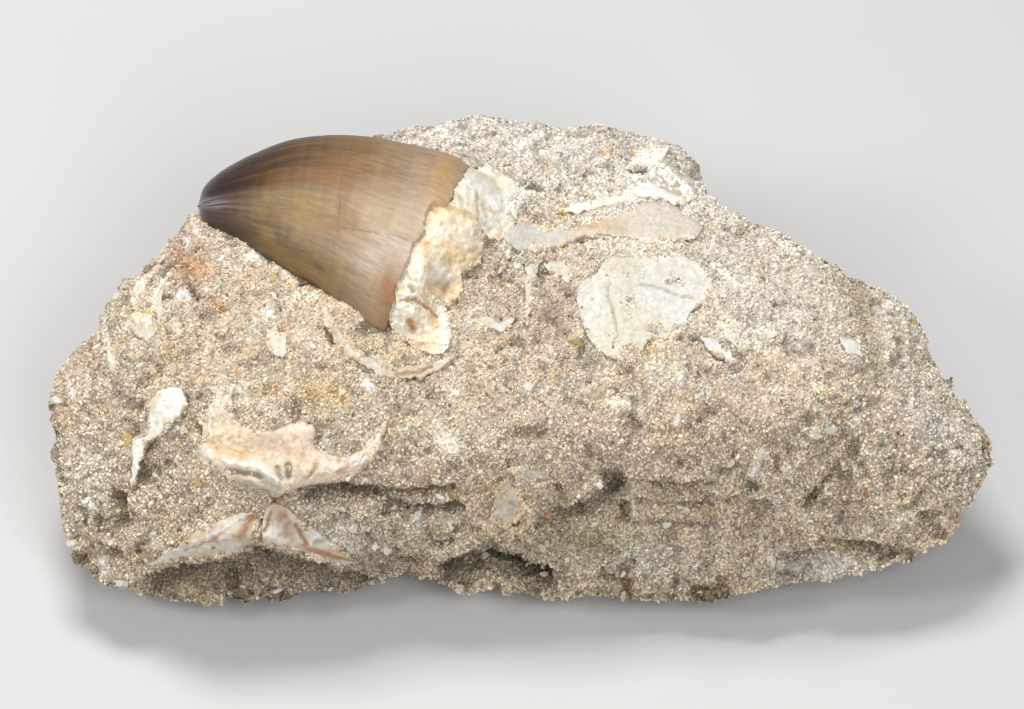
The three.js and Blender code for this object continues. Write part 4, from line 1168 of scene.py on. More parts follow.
def enamel_material():
    """Tint with fine streaks along the tooth, polished at the tip and duller towards the base."""
    add, shade = node_tools("Enamel")
    growth = add("UVMap", "UV", uv_map="Growth")
    stretch = add("Mapping", "Vector", Vector=growth, Scale=(24.0, 95.0, 1.0))
    streaks = add("TexNoise", "Fac", Vector=stretch, Scale=1.0, Detail=5.0, Roughness=0.6)
    dark = add("MapRange", "Result", Value=streaks, From_Min=0.3, From_Max=0.7, To_Min=0.84, To_Max=1.12)
    tint = add("Attribute", "Color", attribute_name="Tint")
    along = add("SeparateXYZ", "X", Vector=growth)
    wear = add("MapRange", "Result", Value=along, From_Min=0.05, From_Max=0.4, To_Min=0.26, To_Max=0.5)
    varied = add("MapRange", "Result", Value=streaks, From_Min=0.3, From_Max=0.7, To_Min=-0.07, To_Max=0.08)
    return shade(
        Base_Color=add("VectorMath", "Vector", tint, Scale=dark, operation="SCALE"),
        Roughness=add("Math", "Value", wear, varied, operation="ADD"),
        Normal=add("Bump", "Normal", Height=streaks, Strength=0.6, Distance=0.06 * MM),
        Coat_Weight=0.08,
        Coat_Roughness=0.22,
        Specular_IOR_Level=0.4,
    )


add_uv(crown, S, A)
finish_piece(crown, "tooth_crown", "enamel", enamel_material())
print("enamel on", crown.name)

# %% [markdown]
# ## Pieces of bone
# The bones are thin, broken and cracked, some flat and chalky, some spongy. Each is drawn as two edges on
# the map between the same two ends. Its rings run over the front and back under it, and a style says how
# flat it is, how rough, how stained and where it is cracked.

# %% The outlines of the bones
# A bone: its upper edge from end to end, its lower edge between the same ends, how far it stands out
# and how far it goes in, all in mm.
BONES = {
    "root_white_bone": (
        [(-8.3, 27.9), (-5.7, 28.1), (-3.6, 28), (-1.5, 27), (0.6, 25.8), (1.5, 24.5)],
        [(-8.8, 24), (-8.4, 21), (-6.8, 18.8), (-4.6, 17.4), (-2.2, 16.9), (-0.2, 17.9),
         (1, 21.1)], 3.8, 2.5),
    "root_spongy_bone": (
        [(-15.6, 12.6), (-14.8, 17), (-13.6, 20.8), (-12, 22.4), (-8.6, 22.6), (-6.4, 21.8), (-5, 20.2),
         (-4.3, 17.3)],
        [(-14, 9), (-11.4, 7.4), (-9, 7.8), (-7.4, 10.2), (-7.4, 12), (-5.6, 12.9), (-4.6, 14.8)], 4.6, 3),
    "root_cellular_bone": (
        [(-18.4, 8.4), (-17, 11.5), (-14.8, 14.4), (-13.2, 13.4), (-12.6, 10.6), (-11.1, 8.2), (-9.4, 5.8),
         (-8.9, 2.4)],
        [(-18.2, 5.5), (-17.2, 2.9), (-14.8, 1.4), (-12.4, 0.3), (-9.9, 0.4)], 4, 3),
    "bone_plate": (
        [(9.6, 8), (9.4, 11.2), (9.8, 13.2), (12.4, 13.9), (15.4, 14.6), (21, 14.6), (24.9, 15.2),
         (27.2, 14.3), (29.2, 12.3), (30.1, 9.3)],
        [(10.5, 4.9), (12, 1.4), (13.7, -0.2), (19.2, 0.8), (20.7, 2.2), (24, 2.6), (26.7, 6.4)], 0.9, 1.6),
    "bone_wedge": (
        [(4.6, 13.4), (6.8, 13.9), (9.6, 13.9)],
        [(5.8, 12.2), (7.4, 11), (9.5, 10.4)], 0.7, 1.4),
    "bone_corner_strip": (
        [(2.1, 4.1), (2, 8.2), (2, 11.8), (2.3, 14), (4.7, 14)],
        [(2.9, 8.2), (3.2, 11.2), (3.6, 12.5)], 0.7, 1.4),
    "bone_spatula": (
        [(-1.5, 17.9), (0, 19.1), (6.8, 19), (10.2, 19.4), (13.7, 20.6), (19.2, 22.7), (23, 22.7),
         (25.5, 21.8), (27.8, 20.3), (28.8, 19)],
        [(-0.9, 16.7), (0.6, 15.8), (6.8, 16.1), (11, 17.5), (16.8, 17.5), (23, 16.9), (25.5, 17.2),
         (27.8, 17.8)], 1.6, 2),
    "bone_blade": (
        [(6.8, 21.8), (11.7, 23.2), (17.1, 24.7), (19.5, 25.8), (22.2, 25.5), (24.9, 24.5), (26.7, 23.2)],
        [(9.5, 21.2), (14.7, 22.3), (19.2, 23.6), (22.2, 23.3), (25.2, 22.7)], 1.3, 1.5),
    "bone_crest": (
        [(17.3, 28.2), (20, 30.4), (22.5, 31.9), (24, 31.6)],
        [(19.2, 27.9), (21.5, 28.3), (23.4, 29.8)], 1.2, 1.6),
    "bone_curved_edge": (
        [(-29.1, 8.6), (-26.7, 6.4), (-24.9, 3.4), (-22.5, 0.7), (-19.1, -1.2), (-15.3, -1.7), (-11.4, -1),
         (-8.6, -0.3)],
        [(-27.9, 5.5), (-26.1, 1.9), (-24, -0.2), (-20.6, -2.6), (-16.1, -3.5), (-11.4, -2.8)], 1.1, 1.5),
    "jaw_bone": (
        [(-40.8, -4.3), (-41.4, -6.8), (-40.4, -9.5), (-38.3, -10.9), (-35.9, -11.3), (-30.9, -9.8),
         (-29.3, -10.3), (-28.5, -13.6), (-25.8, -15.1), (-23.4, -14.6), (-21.3, -13.1), (-18.5, -9.8)],
        [(-43.5, -6.2), (-45, -9.1), (-45.2, -12.2), (-46.4, -15.1), (-43.8, -17), (-37.5, -19.7),
         (-34.5, -20.8), (-31.8, -19.7), (-23.6, -17.8), (-21.3, -16.1), (-19.8, -14)], 1.8, 2.4),
    "lower_bone_left_wing": (
        [(-55.1, -31.6), (-51.8, -29.5), (-48.9, -27.9), (-46.8, -26.2), (-43.5, -24.5), (-40.1, -23.5),
         (-37.5, -23.3)],
        [(-52.4, -31), (-49.2, -30.1), (-44.9, -29.9), (-41.7, -29.6), (-38.6, -28.4)], 1.3, 2),
    "lower_bone_right_wing": (
        [(-36.8, -25.2), (-36, -22.4), (-34.5, -21.8), (-32.6, -22.9), (-30.6, -24.5), (-27.9, -26.4),
         (-25.4, -28.5), (-21.8, -30.6)],
        [(-36.5, -27.7), (-33.8, -28.6), (-30.6, -29.2), (-28.5, -30.1), (-25.8, -31.1)], 1.3, 2),
    "bone_splinter": (
        [(-48.8, -4.9), (-52, -5.1), (-53.6, -7.6), (-53.9, -10.5), (-55.7, -12.4), (-56.4, -16.6),
         (-56.4, -19.9)],
        [(-47.9, -7.4), (-49.6, -9.8), (-51.6, -11.6), (-53.9, -13), (-54.8, -16)], 1, 1.3),
    "bone_edge_strip": (
        [(-51.5, 11.8), (-52.9, 10), (-53.4, 7.7), (-52, 4.9)],
        [(-51.7, 10.1), (-51.9, 7.6)], 0.8, 1.3),
    "shard_middle": (
        [(-6.3, 5), (-3.3, 5.6), (0.5, 5.3)],
        [(-3.6, 3.8), (-1.2, 3.5)], 0.7, 1.2),
    "shard_thick": (
        [(27.8, 2.8), (30, 2.3), (32, 1), (33.5, -1.3)],
        [(29.1, 0.5), (31.2, -0.7)], 1, 1.2),
    "shard_thin": (
        [(30, 5.6), (31.7, 4.7), (33.2, 2.6), (33.8, 0.4)],
        [(30.6, 3.9), (32, 2)], 0.8, 1.2),
    "flake_upper_right": (
        [(41.7, 12.4), (43.2, 13.4), (45.5, 13), (47.4, 11.2)],
        [(43.7, 11.8), (45.6, 10.6)], 0.8, 1.2),
    "shard_right": (
        [(48.2, 2.6), (50.4, 2.2), (52, -0.4)],
        [(49.3, 0.4)], 0.9, 1.2),
    "flake_lower_middle": (
        [(-1.1, -16.7), (1.5, -16.5), (3.9, -17.1), (6.3, -18.5)],
        [(1.7, -18.4), (4.4, -19.3)], 0.8, 1.2),
    "orange_bone": (
        [(-3.2, -24.7), (-2.6, -21.5), (-1.8, -18.5), (0, -19.4), (1.4, -21.2), (2, -23)],
        [(-1.2, -25.5), (0.6, -24.7)], 1.1, 1.5),
}
SLIVERS = {
    "sliver_left_arc": (
        [(-51.9, 14.8), (-53.1, 12.9), (-54.8, 10.3), (-56.4, 7.4)],
        [(-53.8, 12.1), (-55.6, 9.4)], 1, 1),
    "sliver_far_left": (
        [(-60.8, 5.4), (-60.2, 2.5), (-59.4, 0), (-58.4, -3.2)],
        [(-60.7, 2.3), (-59.9, -0.4)], 0.7, 1),
    "flake_left": (
        [(-57, 4.6), (-55.6, 5.8), (-53.6, 5.4), (-52.6, 3.4)],
        [(-55.8, 3.2), (-54, 2.2)], 0.6, 1),
    "flake_white": (
        [(-50, 8.6), (-49, 9.8), (-47.8, 9.2), (-47.4, 8.2)],
        [(-48.8, 7.6), (-48, 7.7)], 0.8, 1),
    "flake_under_crown": (
        [(-36.2, 1.6), (-35, 3.4), (-33.6, 2.8), (-33.2, 0.6)],
        [(-35.2, 0), (-34, -0.6)], 0.6, 1),
    "sliver_upright": (
        [(-0.6, 16.4), (-1.2, 14.6), (-2.1, 11.4)],
        [(-0.6, 14.2)], 0.8, 1),
    "sliver_by_root": (
        [(-1.6, 22.2), (0.2, 24.4), (3.2, 26.2)],
        [(1.2, 24)], 0.8, 1),
    "sliver_crest": (
        [(22.4, 28.8), (24.6, 27.2), (26.9, 24)],
        [(23.2, 27.2), (25.4, 25)], 0.8, 1),
}
print(len(BONES), "pieces of bone and", len(SLIVERS), "slivers")

# %% [markdown]
# ## How each bone looks
# All bones share one builder, and what tells them apart is listed here. A style is a row of numbers, and a
# mark is a path drawn on the map: a crack or a groove if it is cut in, a strut or a fibre if it stands out.

# %% Styles and cracks
# A style: flatness of the top (2 would be an ellipse, 14 is a slab), share of the solid's height,
# roughness in mm, stain colour and its share.
PLAIN = (5, 0.6, 0.14, OCHRE, 0.2)
STYLES = {
    "root_white_bone": (5, 0.9, 0.34, OCHRE, 0.2),
    "root_spongy_bone": (5, 1.0, 0.26, OCHRE, 0.75),
    "root_cellular_bone": (5, 1.0, 0.22, BONE_TAN, 0.5),
    "bone_plate": (14, 0.45, 0.12, BONE_TAN, 0.1),
    "bone_spatula": (3.0, 0.55, 0.08, OCHRE, 0.12),
    "bone_blade": (3, 0.45, 0.15, BONE_TAN, 0.3),
    "jaw_bone": (5, 0.6, 0.35, OCHRE, 0.35),
    "lower_bone_left_wing": (5, 0.65, 0.3, OCHRE, 0.35),
    "lower_bone_right_wing": (5, 0.65, 0.3, OCHRE, 0.3),
    "orange_bone": (4, 0.6, 0.3, RUST, 0.35),
    "flake_lower_middle": (5, 0.6, 0.2, OCHRE, 0.5),
    "bone_curved_edge": (3, 0.6, 0.3, OCHRE, 0.35),
}
DARK_BROWN = srgb(92, 72, 48)
WARM_BROWN = srgb(176, 118, 70)
GREY_BONE = srgb(176, 172, 160)
# Each bone's marks, listed as the rock's marks are.
MARKS = {
    "bone_plate": [
        ([(14.6, 11.0), (14.3, 8.6), (14.9, 6.7), (15.3, 4.9), (15.5, 2.5)], 0.22, -0.16, CRACK, 0.6),
        ([(19.4, 10.3), (22.2, 10.0), (24.0, 9.1), (25.5, 8.5), (26.7, 8.6)], 0.26, -0.18, CRACK, 0.5),
        ([(20.0, 7.9), (21.0, 6.7)], 0.12, -0.08, CRACK, 0.35),
        ([(12.9, 5.5), (13.4, 6.8)], 0.2, -0.1, CRACK, 0.3),
        ([(15.0, 12.7), (15.9, 13.6)], 0.3, -0.15, BONE_TAN, 0.4),
        ([(13.0, 12.6), (14.6, 11.2), (17.0, 10.8)], 0.5, 0.12, CHALK, 0.5),
        ([(18.5, 5.5), (22.5, 6.0), (25.0, 7.4)], 0.6, 0.10, CHALK, 0.4),
    ],
    "bone_spatula": [
        ([(19.2, 22.0), (22.2, 22.4), (25.5, 21.4)], 0.3, 0.12, CHALK, 0.6),
        ([(20.0, 20.6), (23.7, 21.1), (27.5, 19.9)], 0.3, 0.12, CHALK, 0.6),
        ([(20.0, 19.1), (23.7, 19.0), (26.7, 18.4)], 0.3, 0.12, CHALK, 0.6),
        ([(11.7, 19.6), (16.5, 19.0)], 1.2, -0.1, OCHRE, 0.4),
        ([(0.5, 18.0), (7.2, 18.2)], 0.8, 0.1, CHALK, 0.7),
    ],
    "jaw_bone": [
        ([(-44.7, -8.3), (-44.6, -12.1), (-44.6, -15.1)], 0.5, 0.35, CHALK, 0.8),
        ([(-43.5, -7.1), (-41.1, -8.9), (-37.5, -10.8), (-33.3, -10.9), (-29.1, -10.8)],
         0.7, 0.2, CREAM, 0.7),
        ([(-21.6, -16.1), (-19.9, -14.0), (-19.0, -11.6)], 0.45, 0.3, CHALK, 0.7),
        ([(-44.4, -12.8), (-42.0, -14.3), (-39.3, -14.6)], 0.9, -0.2, OCHRE, 0.7),
        ([(-37.0, -12.6), (-29.6, -12.8)], 1.5, -0.15, ROSE, 0.35),
        ([(-42.0, -15.8), (-37.5, -16.2), (-34.4, -18.3)], 0.5, 0.6, CHALK, 0.9),
        ([(-41.9, -17.1), (-39.3, -17.4), (-36.9, -17.9)], 0.4, -0.9, DARK_BROWN, 0.65),
        ([(-39.3, -18.6), (-34.4, -20.4)], 0.45, 0.3, GREY_BONE, 0.8),
        ([(-36.5, -18.6), (-34.2, -19.6)], 0.5, -0.3, GREY_BONE, 0.7),
        ([(-32.9, -16.3), (-32.7, -17.9)], 0.5, -1.2, DARK_BROWN, 0.85),
        ([(-34.4, -16.7), (-33.9, -18.1)], 0.35, -0.8, DARK_BROWN, 0.6),
        ([(-29.6, -17.9), (-28.7, -16.1)], 0.35, -0.6, WARM_BROWN, 0.6),
        ([(-31.5, -17.0), (-30.2, -18.0)], 0.4, 0.3, GREY_BONE, 0.6),
        ([(-27.5, -16.2), (-23.6, -17.0)], 0.5, 0.3, CHALK, 0.6),
        ([(-25.4, -17.3), (-24.0, -16.6)], 0.45, -0.2, WARM_BROWN, 0.6),
    ],
    "lower_bone_left_wing": [
        ([(-48.3, -28.8), (-44.4, -27.4), (-40.4, -24.7), (-38.1, -23.8)], 0.22, -0.35, WARM_BROWN, 0.7),
        ([(-47.4, -28.1), (-42.3, -25.6), (-39.4, -24.0)], 0.4, 0.3, CHALK, 0.8),
        ([(-48.9, -27.9), (-45.3, -26.6)], 0.5, 0.1, OCHRE, 0.8),
        ([(-45.0, -28.4), (-40.5, -28.0)], 0.6, 0.2, CHALK, 0.5),
        ([(-37.9, -26.6), (-37.7, -24.4)], 0.3, -0.4, WARM_BROWN, 0.8),
    ],
    "lower_bone_right_wing": [
        ([(-36.3, -26.0), (-35.4, -23.2)], 0.3, -0.4, WARM_BROWN, 0.8),
        ([(-31.7, -25.2), (-30.9, -26.7), (-30.2, -27.9)], 0.3, -0.4, WARM_BROWN, 0.8),
        ([(-32.4, -23.8), (-29.1, -25.8), (-25.8, -28.3)], 0.5, 0.35, CHALK, 0.7),
        ([(-32.0, -23.7), (-28.6, -26.0)], 0.35, 0.2, OCHRE, 0.6),
        ([(-25.1, -29.1), (-22.6, -30.4)], 0.35, -0.2, WARM_BROWN, 0.7),
        ([(-28.8, -27.9), (-27.3, -27.1)], 0.5, -0.3, GREY_BONE, 0.7),
        ([(-34.6, -26.2), (-33.2, -24.6)], 0.4, 0.3, CHALK, 0.5),
    ],
    "root_cellular_bone": [
        ([(-13.7, 14.5), (-13.8, 12.7), (-13.2, 10.4), (-12.0, 8.8), (-10.7, 7.3), (-9.8, 5.2), (-9.6, 2.9),
          (-9.9, 1.0)], 0.55, 0.5, CHALK, 0.9),
        ([(-15.5, 10.0), (-15.1, 10.6), (-14.4, 10.6), (-13.9, 9.9), (-14.1, 9.0), (-14.9, 8.8), (-15.5, 9.5),
          (-15.5, 10.0)], 0.28, 0.45, CHALK, 0.9),
        ([(-14.8, 9.8), (-14.6, 9.6)], 0.35, -0.5, OCHRE, 0.8),
        ([(-16.4, 7.9), (-14.4, 8.2), (-12.3, 6.8), (-11.1, 5.5)], 0.25, -0.5, WARM_BROWN, 0.7),
        ([(-16.8, 6.7), (-15.0, 6.4), (-13.2, 5.2), (-12.3, 3.2)], 0.35, 0.4, CHALK, 0.8),
        ([(-15.0, 4.9), (-14.6, 3.9)], 0.5, -0.9, WARM_BROWN, 0.85),
        ([(-16.0, 5.2), (-15.9, 3.2), (-14.6, 2.6), (-13.6, 3.6)], 0.3, 0.3, CHALK, 0.8),
        ([(-11.8, 6.0), (-11.2, 4.0)], 0.35, -0.4, OCHRE, 0.5),
        ([(-14.8, 1.8), (-12.6, 1.3)], 0.5, -0.2, OCHRE, 0.7),
    ],
    "root_spongy_bone": [
        ([(-9.9, 9.4), (-9.3, 10.6)], 0.5, -0.3, WARM_BROWN, 0.7),
        ([(-10.7, 13.0), (-9.6, 11.4)], 0.8, 0.3, CHALK, 0.8),
        ([(-11.2, 21.0), (-10.4, 22.0)], 0.5, 0.0, WARM_BROWN, 0.45),
        ([(-8.0, 16.8), (-6.0, 18.6)], 0.8, 0.3, CREAM, 0.7),
        ([(-12.9, 16.2), (-12.4, 13.0)], 0.6, 0.1, RUST, 0.35),
    ],
    "root_white_bone": [
        ([(-6.0, 25.4), (-3.8, 24.6), (-2.0, 22.2)], 0.9, 0.2, CHALK, 0.9),
        ([(-3.1, 21.6), (-2.7, 21.2)], 0.4, -0.1, WARM_BROWN, 0.5),
        ([(-5.2, 24.2), (-5.0, 20.6)], 0.2, -0.5, BONE_BROWN, 0.5),
    ],
    "bone_splinter": [
        ([(-50.5, -6.6), (-52.6, -8.5), (-53.2, -10.5), (-55.5, -13.5), (-55.9, -18.5)],
         0.5, 0.1, CHALK, 0.9),
    ],
}


print(sum(len(marks) for marks in MARKS.values()), "marks drawn by hand")

# %% [markdown]
# ## Building the bones
# The pieces of root stand on the dome that carries the crown's arch on past its broken base, and the other
# bones lie on the rock. Old bone is full of holes, so the spongy and the cellular piece get their relief
# from scattered cells: the distance to the nearest one makes lumps, and the gap to the next makes walls.

# %% Build the bones
# How far the root reaches past the crown: the share across the crown's base, and mm.
ROOT_REACH = [
    (0, 3), (0.1, 7.5), (0.25, 7.5), (0.36, 6.5), (0.5, 7.5), (0.6, 8), (0.7, 7), (0.78, 9), (0.9, 8.5),
    (1, 4.5),
]
ROOT_PIECES = ("root_white_bone", "root_spongy_bone", "root_cellular_bone")
# How far sand covers a bone, more for a larger number.
SAND_COVER = {name: 0.55 for name in ROOT_PIECES} | {
    "bone_plate": 0.42, "bone_spatula": 0.45, "bone_wedge": 0.45, "bone_splinter": 0.5, "jaw_bone": 0.65,
    "lower_bone_left_wing": 0.4, "lower_bone_right_wing": 0.4, "bone_edge_strip": 0.25,
    "bone_corner_strip": 0.3, "bone_curved_edge": 0.5, "shard_middle": 0.4, "shard_thick": 0.4,
    "shard_thin": 0.35, "flake_upper_right": 0.5, "shard_right": 0.4, "bone_blade": 0.5,
}
USUAL_COVER = 0.7
SLIVER_COVER = 0.3
BONE_STEP = 0.16
UNDER_ROWS = 8
# How fibrous a bone is, from 0 to 1.
FIBROUS = {
    "lower_bone_left_wing": 1.0, "lower_bone_right_wing": 1.0, "bone_curved_edge": 0.8, "orange_bone": 1.0,
    "bone_blade": 0.5, "flake_lower_middle": 0.8, "jaw_bone": 0.25, "bone_crest": 0.4, "shard_middle": 0.5,
    "bone_spatula": 0.2,
}
arched = np.sin(turn) >= 0
rising = slice(0, int(np.argmax(base_seen[arched])))
base_deep = deep[-1]
base_start, base_finish = crown_lower[-1], crown_upper[-1]
base_line = (base_finish - base_start) / np.linalg.norm(base_finish - base_start)
base_normal = np.array([base_line[1], -base_line[0]])


def root_depth(x, y):
    """The crown's arch carried on past its base, falling to the rock as a quarter ellipse."""
    dx, dy = x - base_start[0], y - base_start[1]
    share = np.clip((dx * base_line[0] + dy * base_line[1]) / span[-1], 0, 1)
    past = dx * base_normal[0] + dy * base_normal[1]
    dome = np.interp(share, base_seen[rising], base_deep[rising]) + 0.8
    rock = front_depth(x, y)
    left = np.clip(past / np.interp(share, *np.array(ROOT_REACH).T), 0, 1)
    fallen = dome + (rock - 0.25 - dome) * smooth(left**1.2)
    under_crown = dome + 0.22 * np.abs(past) + np.maximum(0, -past - 2.6)
    return np.where(past > 0, np.minimum(fallen, rock), under_crown)


def pieces_of_cells(x, y):
    """Distance to the nearest and to the next nearest of scattered points, one in each square."""
    column, row = np.floor(x), np.floor(y)
    nearest = np.full(np.shape(x), 9.0)
    second = np.full(np.shape(x), 9.0)
    for dx in (-1, 0, 1):
        for dy in (-1, 0, 1):
            px = column + dx + 0.5 + 0.42 * lattice(column + dx, row + dy)
            py = row + dy + 0.5 + 0.42 * lattice(row + dy + 31, column + dx + 17)
            gap = np.hypot(x - px, y - py)
            second = np.minimum(second, np.maximum(nearest, gap))
            nearest = np.minimum(nearest, gap)
    return nearest, second


def bone_texture(name, x, y, rough):
    """Relief in mm: worn lumps on the spongy bone, walls and pits on the cellular bone, else soft noise."""
    flat_points = np.stack([x, y, 0 * x], -1)
    texture = layered(flat_points, 1.6, 3, len(name)) * rough
    if name == "root_spongy_bone":
        nearest, _ = pieces_of_cells(x / 1.7, y / 1.7)
        texture = texture + 0.4 * (0.55 - nearest)
    if name == "root_cellular_bone":
        nearest, second = pieces_of_cells(x / 1.5 + 3, y / 1.5)
        texture = texture + 0.3 * np.exp(-(((second - nearest) / 0.22) ** 2)) - 0.25
    texture = texture + 0.5 * rough * layered(flat_points, 0.55, 2, 71)
    return texture + marked(MARKS.get(name, []), x, y)[0]


def bone_rings(name, upper, lower, out, into):
    """Rings over the front and back under it: height is out times one less an even power of the share."""
    flatness, height_share, rough, _, _ = STYLES.get(name, PLAIN)
    reach = np.linalg.norm(np.diff(np.array(upper), axis=0), axis=1).sum()
    width = max(math.dist(upper[len(upper) // 2], lower[len(lower) // 2]), 2.0)
    steps = int(np.clip(reach / BONE_STEP, 50, 170))
    rows = int(np.clip(width / BONE_STEP, 24, 110))
    high, low = smooth_path(upper, steps + 1), smooth_path(lower, steps + 1)
    side = (high - low) / np.maximum(np.linalg.norm(high - low, axis=1, keepdims=True), 1e-6)
    ends = ramp(np.linspace(0, 1, steps + 1), 0, 0.08) * ramp(np.linspace(1, 0, steps + 1), 0, 0.08)
    for edge, offset in ((high, 0.0), (low, 9.0)):
        jag = 0.3 * lumpiness(edge[:, 0] / 0.9 + offset, edge[:, 1] / 0.9)
        jag = jag + 0.16 * lumpiness(edge[:, 0] / 0.35 + offset, edge[:, 1] / 0.35)
        edge += side * (jag * ends)[:, None]
    over, under = np.linspace(0, 1, rows, endpoint=False), np.linspace(1, 0, UNDER_ROWS, endpoint=False)
    share = np.concatenate([over, under])
    front = np.arange(len(share)) < rows
    spots = low[1:-1, None] + (high - low)[1:-1, None] * share[None, :, None]
    x, y = spots[..., 0], spots[..., 1]
    along = np.linspace(0, 1, steps + 1)[1:-1, None]
    bulge = (1 - np.abs(2 * share - 1) ** flatness) ** 0.5 * (1 - np.abs(2 * along - 1) ** 10) ** 0.5
    strand = lumpiness(share * rows / 8 + 0.5 * np.sin(5 * along), along * reach / 6 + len(name))
    texture = bone_texture(name, x, y, rough) + 0.18 * FIBROUS.get(name, 0) * strand
    wide = np.linalg.norm(high - low, axis=1)[1:-1, None]
    inside = np.minimum(np.minimum(share, 1 - share) * wide, np.minimum(along, 1 - along) * reach)
    if name in ROOT_PIECES:
        surface, rise = root_depth(x, y), 0.35
    else:
        surface, rise = front_depth(x, y), out * height_share
    lift = np.where(front, bulge * (rise + texture), -bulge * into)
    return place(x, y, surface - lift), x, y, np.where(front, texture, -1.0), strand, inside, front


def sand_cover(name, x, y, inside):
    """How far sand crust covers a bone: ragged at its edges, and in a few patches."""
    flat_points = np.stack([x, y, 0 * x + 3], -1)
    ragged = layered(flat_points, 1.5, 3, 50)
    usual = SLIVER_COVER if name in SLIVERS else USUAL_COVER
    return ramp(ragged + SAND_COVER.get(name, usual) - inside * 1.0, 0.5, 0.85)


BONE_TONE = 0.78
# Factors on the colours of bones that are lighter or darker than the rest.
SHADED_TONES = {
    "bone_spatula": 0.7, "bone_blade": 0.9, "bone_crest": 1.0, "root_white_bone": 0.96, "bone_splinter": 0.95,
    "root_spongy_bone": 0.9, "root_cellular_bone": 1.0, "jaw_bone": 0.88,
}
WING_TAN = srgb(214, 196, 170)
BONE_BASES = {
    "jaw_bone": BONE_ROSE, "lower_bone_left_wing": WING_TAN, "lower_bone_right_wing": WING_TAN,
    "orange_bone": BONE_TAN, "flake_lower_middle": BONE_TAN, "bone_curved_edge": BONE_ROSE,
    "bone_spatula": srgb(242, 226, 208), "root_spongy_bone": srgb(240, 222, 188),
    "root_cellular_bone": srgb(238, 220, 192),
}


def bone_colours(name, x, y, texture, strand, cover):
    """Cream and chalk in soft patches, stained in the low places, sandy where covered, with its marks."""
    _, _, rough, stain, stain_share = STYLES.get(name, PLAIN)
    flat_points = np.stack([x, y, 0 * x + len(name)], -1)
    patches = layered(flat_points, 4.0, 3, 2)
    base = np.broadcast_to(BONE_BASES.get(name, CREAM), x.shape + (3,))
    colours = mix(base, CHALK, (0.25 if name in BONE_BASES else 0.5) + 0.8 * patches)
    stained = ramp(layered(flat_points, 2.6, 3, 8), 0.65 - 1.2 * stain_share, 1.2 - 1.1 * stain_share)
    colours = mix(colours, stain, 0.6 * stained)
    colours = mix(colours, BONE_TAN, 0.5 * ramp(-texture, 0.02, 0.45))
    colours = mix(colours, BONE_BROWN, rough * ramp(layered(flat_points, 0.9, 2, 61), 0.45, 1.0))
    fibrous = FIBROUS.get(name, 0)
    colours = mix(colours, CHALK, 0.7 * fibrous * ramp(strand, 0.1, 0.6))
    colours = mix(colours, WARM_BROWN, 0.75 * fibrous * ramp(-strand, 0.35, 0.7))
    colours = mix(colours, SAND, 0.75 * cover)
    colours = marked(MARKS.get(name, []), x, y, colours)[1]
    tone = SHADED_TONES.get(name, BONE_TONE)
    return tone * colours * (1 + 0.09 * layered(flat_points, 0.6, 2, 15))[..., None]


crusts = []


def build_bone(name, upper, below, out, into):
    """One piece of bone, closed at both ends of its outline. Its covered places are kept for the sand."""
    lower = [upper[0], *below, upper[-1]]
    rings, x, y, texture, strand, inside, front = bone_rings(name, upper, lower, out, into)
    cover = sand_cover(name, x, y, inside)
    colours = bone_colours(name, x, y, texture, strand, cover)
    crusts.append((rings[:, front], cover[:, front], x[:, front], y[:, front]))
    depth_at = root_depth if name in ROOT_PIECES else front_depth
    ends = [np.array(upper[0], float), np.array(upper[-1], float)]
    first, last = (place(e[0], e[1], float(depth_at(e[0], e[1]))) for e in ends)
    return rings_to_piece(name + "_surface", rings, first, last, colours)


slot_of = {part["node"]: part["material_slot"] for part in frame["record"]["subparts"]}
bone_faces = 0
for name, outline in BONES.items():
    bone = build_bone(name, *outline)
    finish_piece(bone, name, slot_of[name], bone_material)
    bone_faces += len(bone.data.polygons)
for name, outline in SLIVERS.items():
    sliver = build_bone(name, *outline)
    finish_piece(sliver, "rock_matrix", slot_of["rock_matrix"], bone_material)
print("bones:", bone_faces, "faces in all, and the slivers")

# %% [markdown]
# ## Sand stuck to the bones
# Nobody has cleaned the bones fully, so sand still sticks to their edges. Places are drawn from every bone at
# once by area and by how covered it is there, and the same small grains are set on them.

# %% Sand on the bones


def crust_places(count):
    """Random places on the covered parts of all the bones: centre, normal, across and up."""
    corners, weights, where = [], [], []
    for rings, cover, x, y in crusts:
        a, b, c, d = rings[:-1, :-1], rings[:-1, 1:], rings[1:, 1:], rings[1:, :-1]
        square = np.cross(c - a, d - b) / 2
        corners.append(np.stack([a, b, c, d, square], -2).reshape(-1, 5, 3))
        weights.append((np.linalg.norm(square, axis=-1) * cover[:-1, :-1]).ravel())
        where.append(np.stack([x[:-1, :-1], y[:-1, :-1]], -1).reshape(-1, 2))
    corners, weights, where = np.concatenate(corners), np.concatenate(weights), np.concatenate(where)
    chosen, centre = draw_places([corners[:, k] for k in range(4)], weights, count)
    normal = unit(corners[chosen, 4])
    normal = normal * np.sign(normal @ towards_viewer)[:, None]
    return centre, normal, where[chosen, 0], where[chosen, 1]


crust = grain_mesh("sand_on_bones", *crust_places(CRUST_GRAINS), size=0.9)
finish_piece(crust, "rock_matrix", "sandy_rock", sand_material)
print(CRUST_GRAINS, "grains on the bones")

# %% [markdown]
# ## Floor and light
# A plain pale floor, one soft lamp above and a little behind on the left, as in the photograph's studio, and
# two weaker ones, at the left and in front. A dim white world fills the shadows a little.

# %% The stage


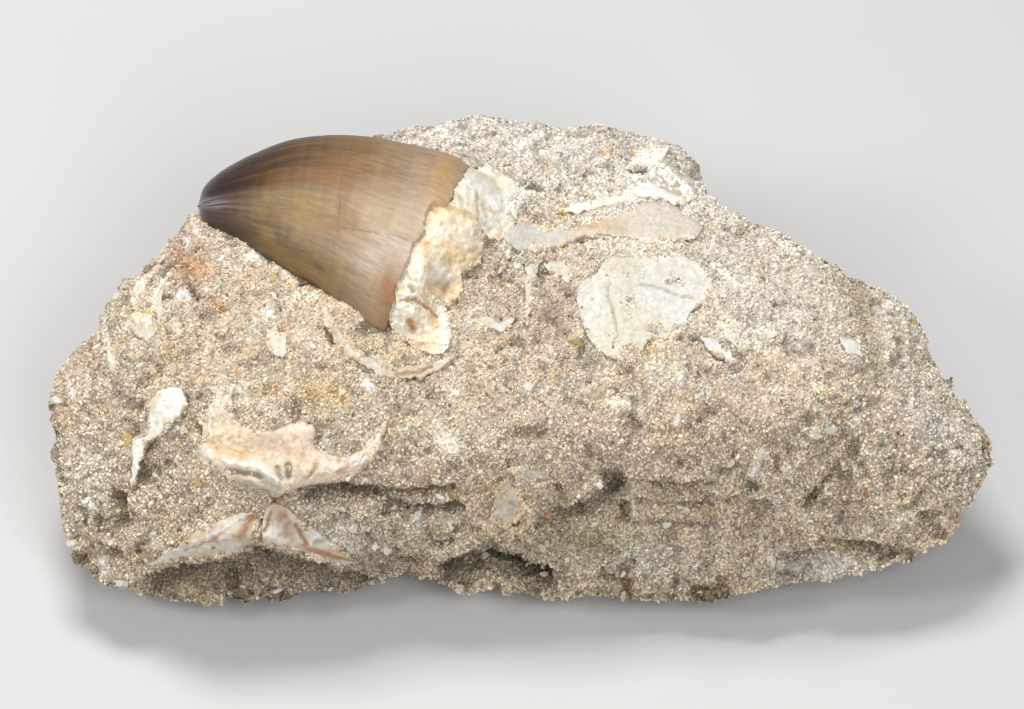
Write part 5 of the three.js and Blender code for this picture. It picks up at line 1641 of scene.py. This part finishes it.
def pale_floor():
    """A large level square that the block rests on, three metres wide and evenly pale."""
    half = 1.5
    tone = 0.56
    corners = np.array([[-half, -half, 0], [half, -half, 0], [half, half, 0], [-half, half, 0]]) / MM
    quads, no_triangles = np.array([[0, 1, 2, 3]]), np.zeros((0, 3), int)
    floor = put_mesh("floor", corners, quads, no_triangles, np.full((4, 3), tone))
    add, shade = node_tools("Pale floor")
    tint = add("Attribute", "Color", attribute_name="Tint")
    floor.data.materials.append(shade(Base_Color=tint, Roughness=0.8))


def soft_lamp(name, at, aim, size, watts, colour=(1.0, 1.0, 1.0)):
    """A square area lamp that looks at its aim."""
    lamp = bpy.data.lights.new(name, "AREA")
    lamp.shape, lamp.size, lamp.energy, lamp.color = "SQUARE", size, watts, colour
    lamp_object = bpy.data.objects.new(name, lamp)
    lamp_object.location = at
    lamp_object.rotation_euler = look_along(np.array(aim) - np.array(at))
    bpy.context.scene.collection.objects.link(lamp_object)


def look_along(direction):
    """Euler angles that point a camera's or lamp's own -Z along a direction, with +Y kept upwards."""
    return Vector(direction).to_track_quat("-Z", "Y").to_euler()


pale_floor()
soft_lamp("key", (-0.10, 0.20, 0.58), (0, 0, 0.03), 0.2, 2.9, (1.0, 0.99, 0.97))
soft_lamp("left", (-0.46, -0.22, 0.46), (-0.03, 0, 0.03), 0.16, 1.4)
soft_lamp("front", (0.14, -0.44, 0.48), (0, 0, 0.02), 0.3, 2.3)
world = bpy.data.worlds.new("studio")
world.use_nodes = True
world.node_tree.nodes["Background"].inputs["Color"].default_value = (1, 1, 1, 1)
world.node_tree.nodes["Background"].inputs["Strength"].default_value = 0.2
bpy.context.scene.world = world
bpy.context.scene.view_settings.view_transform = "Standard"

# %% [markdown]
# ## Camera
# The camera looks along the line of the photograph, level from side to side and tipped down so that it faces
# the sloping front squarely. A long lens keeps the outline true, and the whole block fills the picture.

# %% The camera
PIXELS_WIDE = 1024
PIXELS_A_MM = 6.66
LENS = 250.0
SENSOR = 36.0
AIM_DEEP = -16.0
frame_width = PIXELS_WIDE / PIXELS_A_MM * MM
distance = frame_width * LENS / SENSOR
looking = np.array([0.0, SLOPE_COS, -SLOPE_SIN])
aim = place(0.0, 0.0, AIM_DEEP) * MM
camera = bpy.data.objects.new("camera", bpy.data.cameras.new("camera"))
camera.data.lens, camera.data.sensor_width = LENS, SENSOR
camera.data.clip_start, camera.data.clip_end = 0.01, 20
camera.location = aim - looking * distance
camera.rotation_euler = look_along(looking)
bpy.context.scene.collection.objects.link(camera)
bpy.context.scene.camera = camera
print("camera", round(distance, 3), "m away")
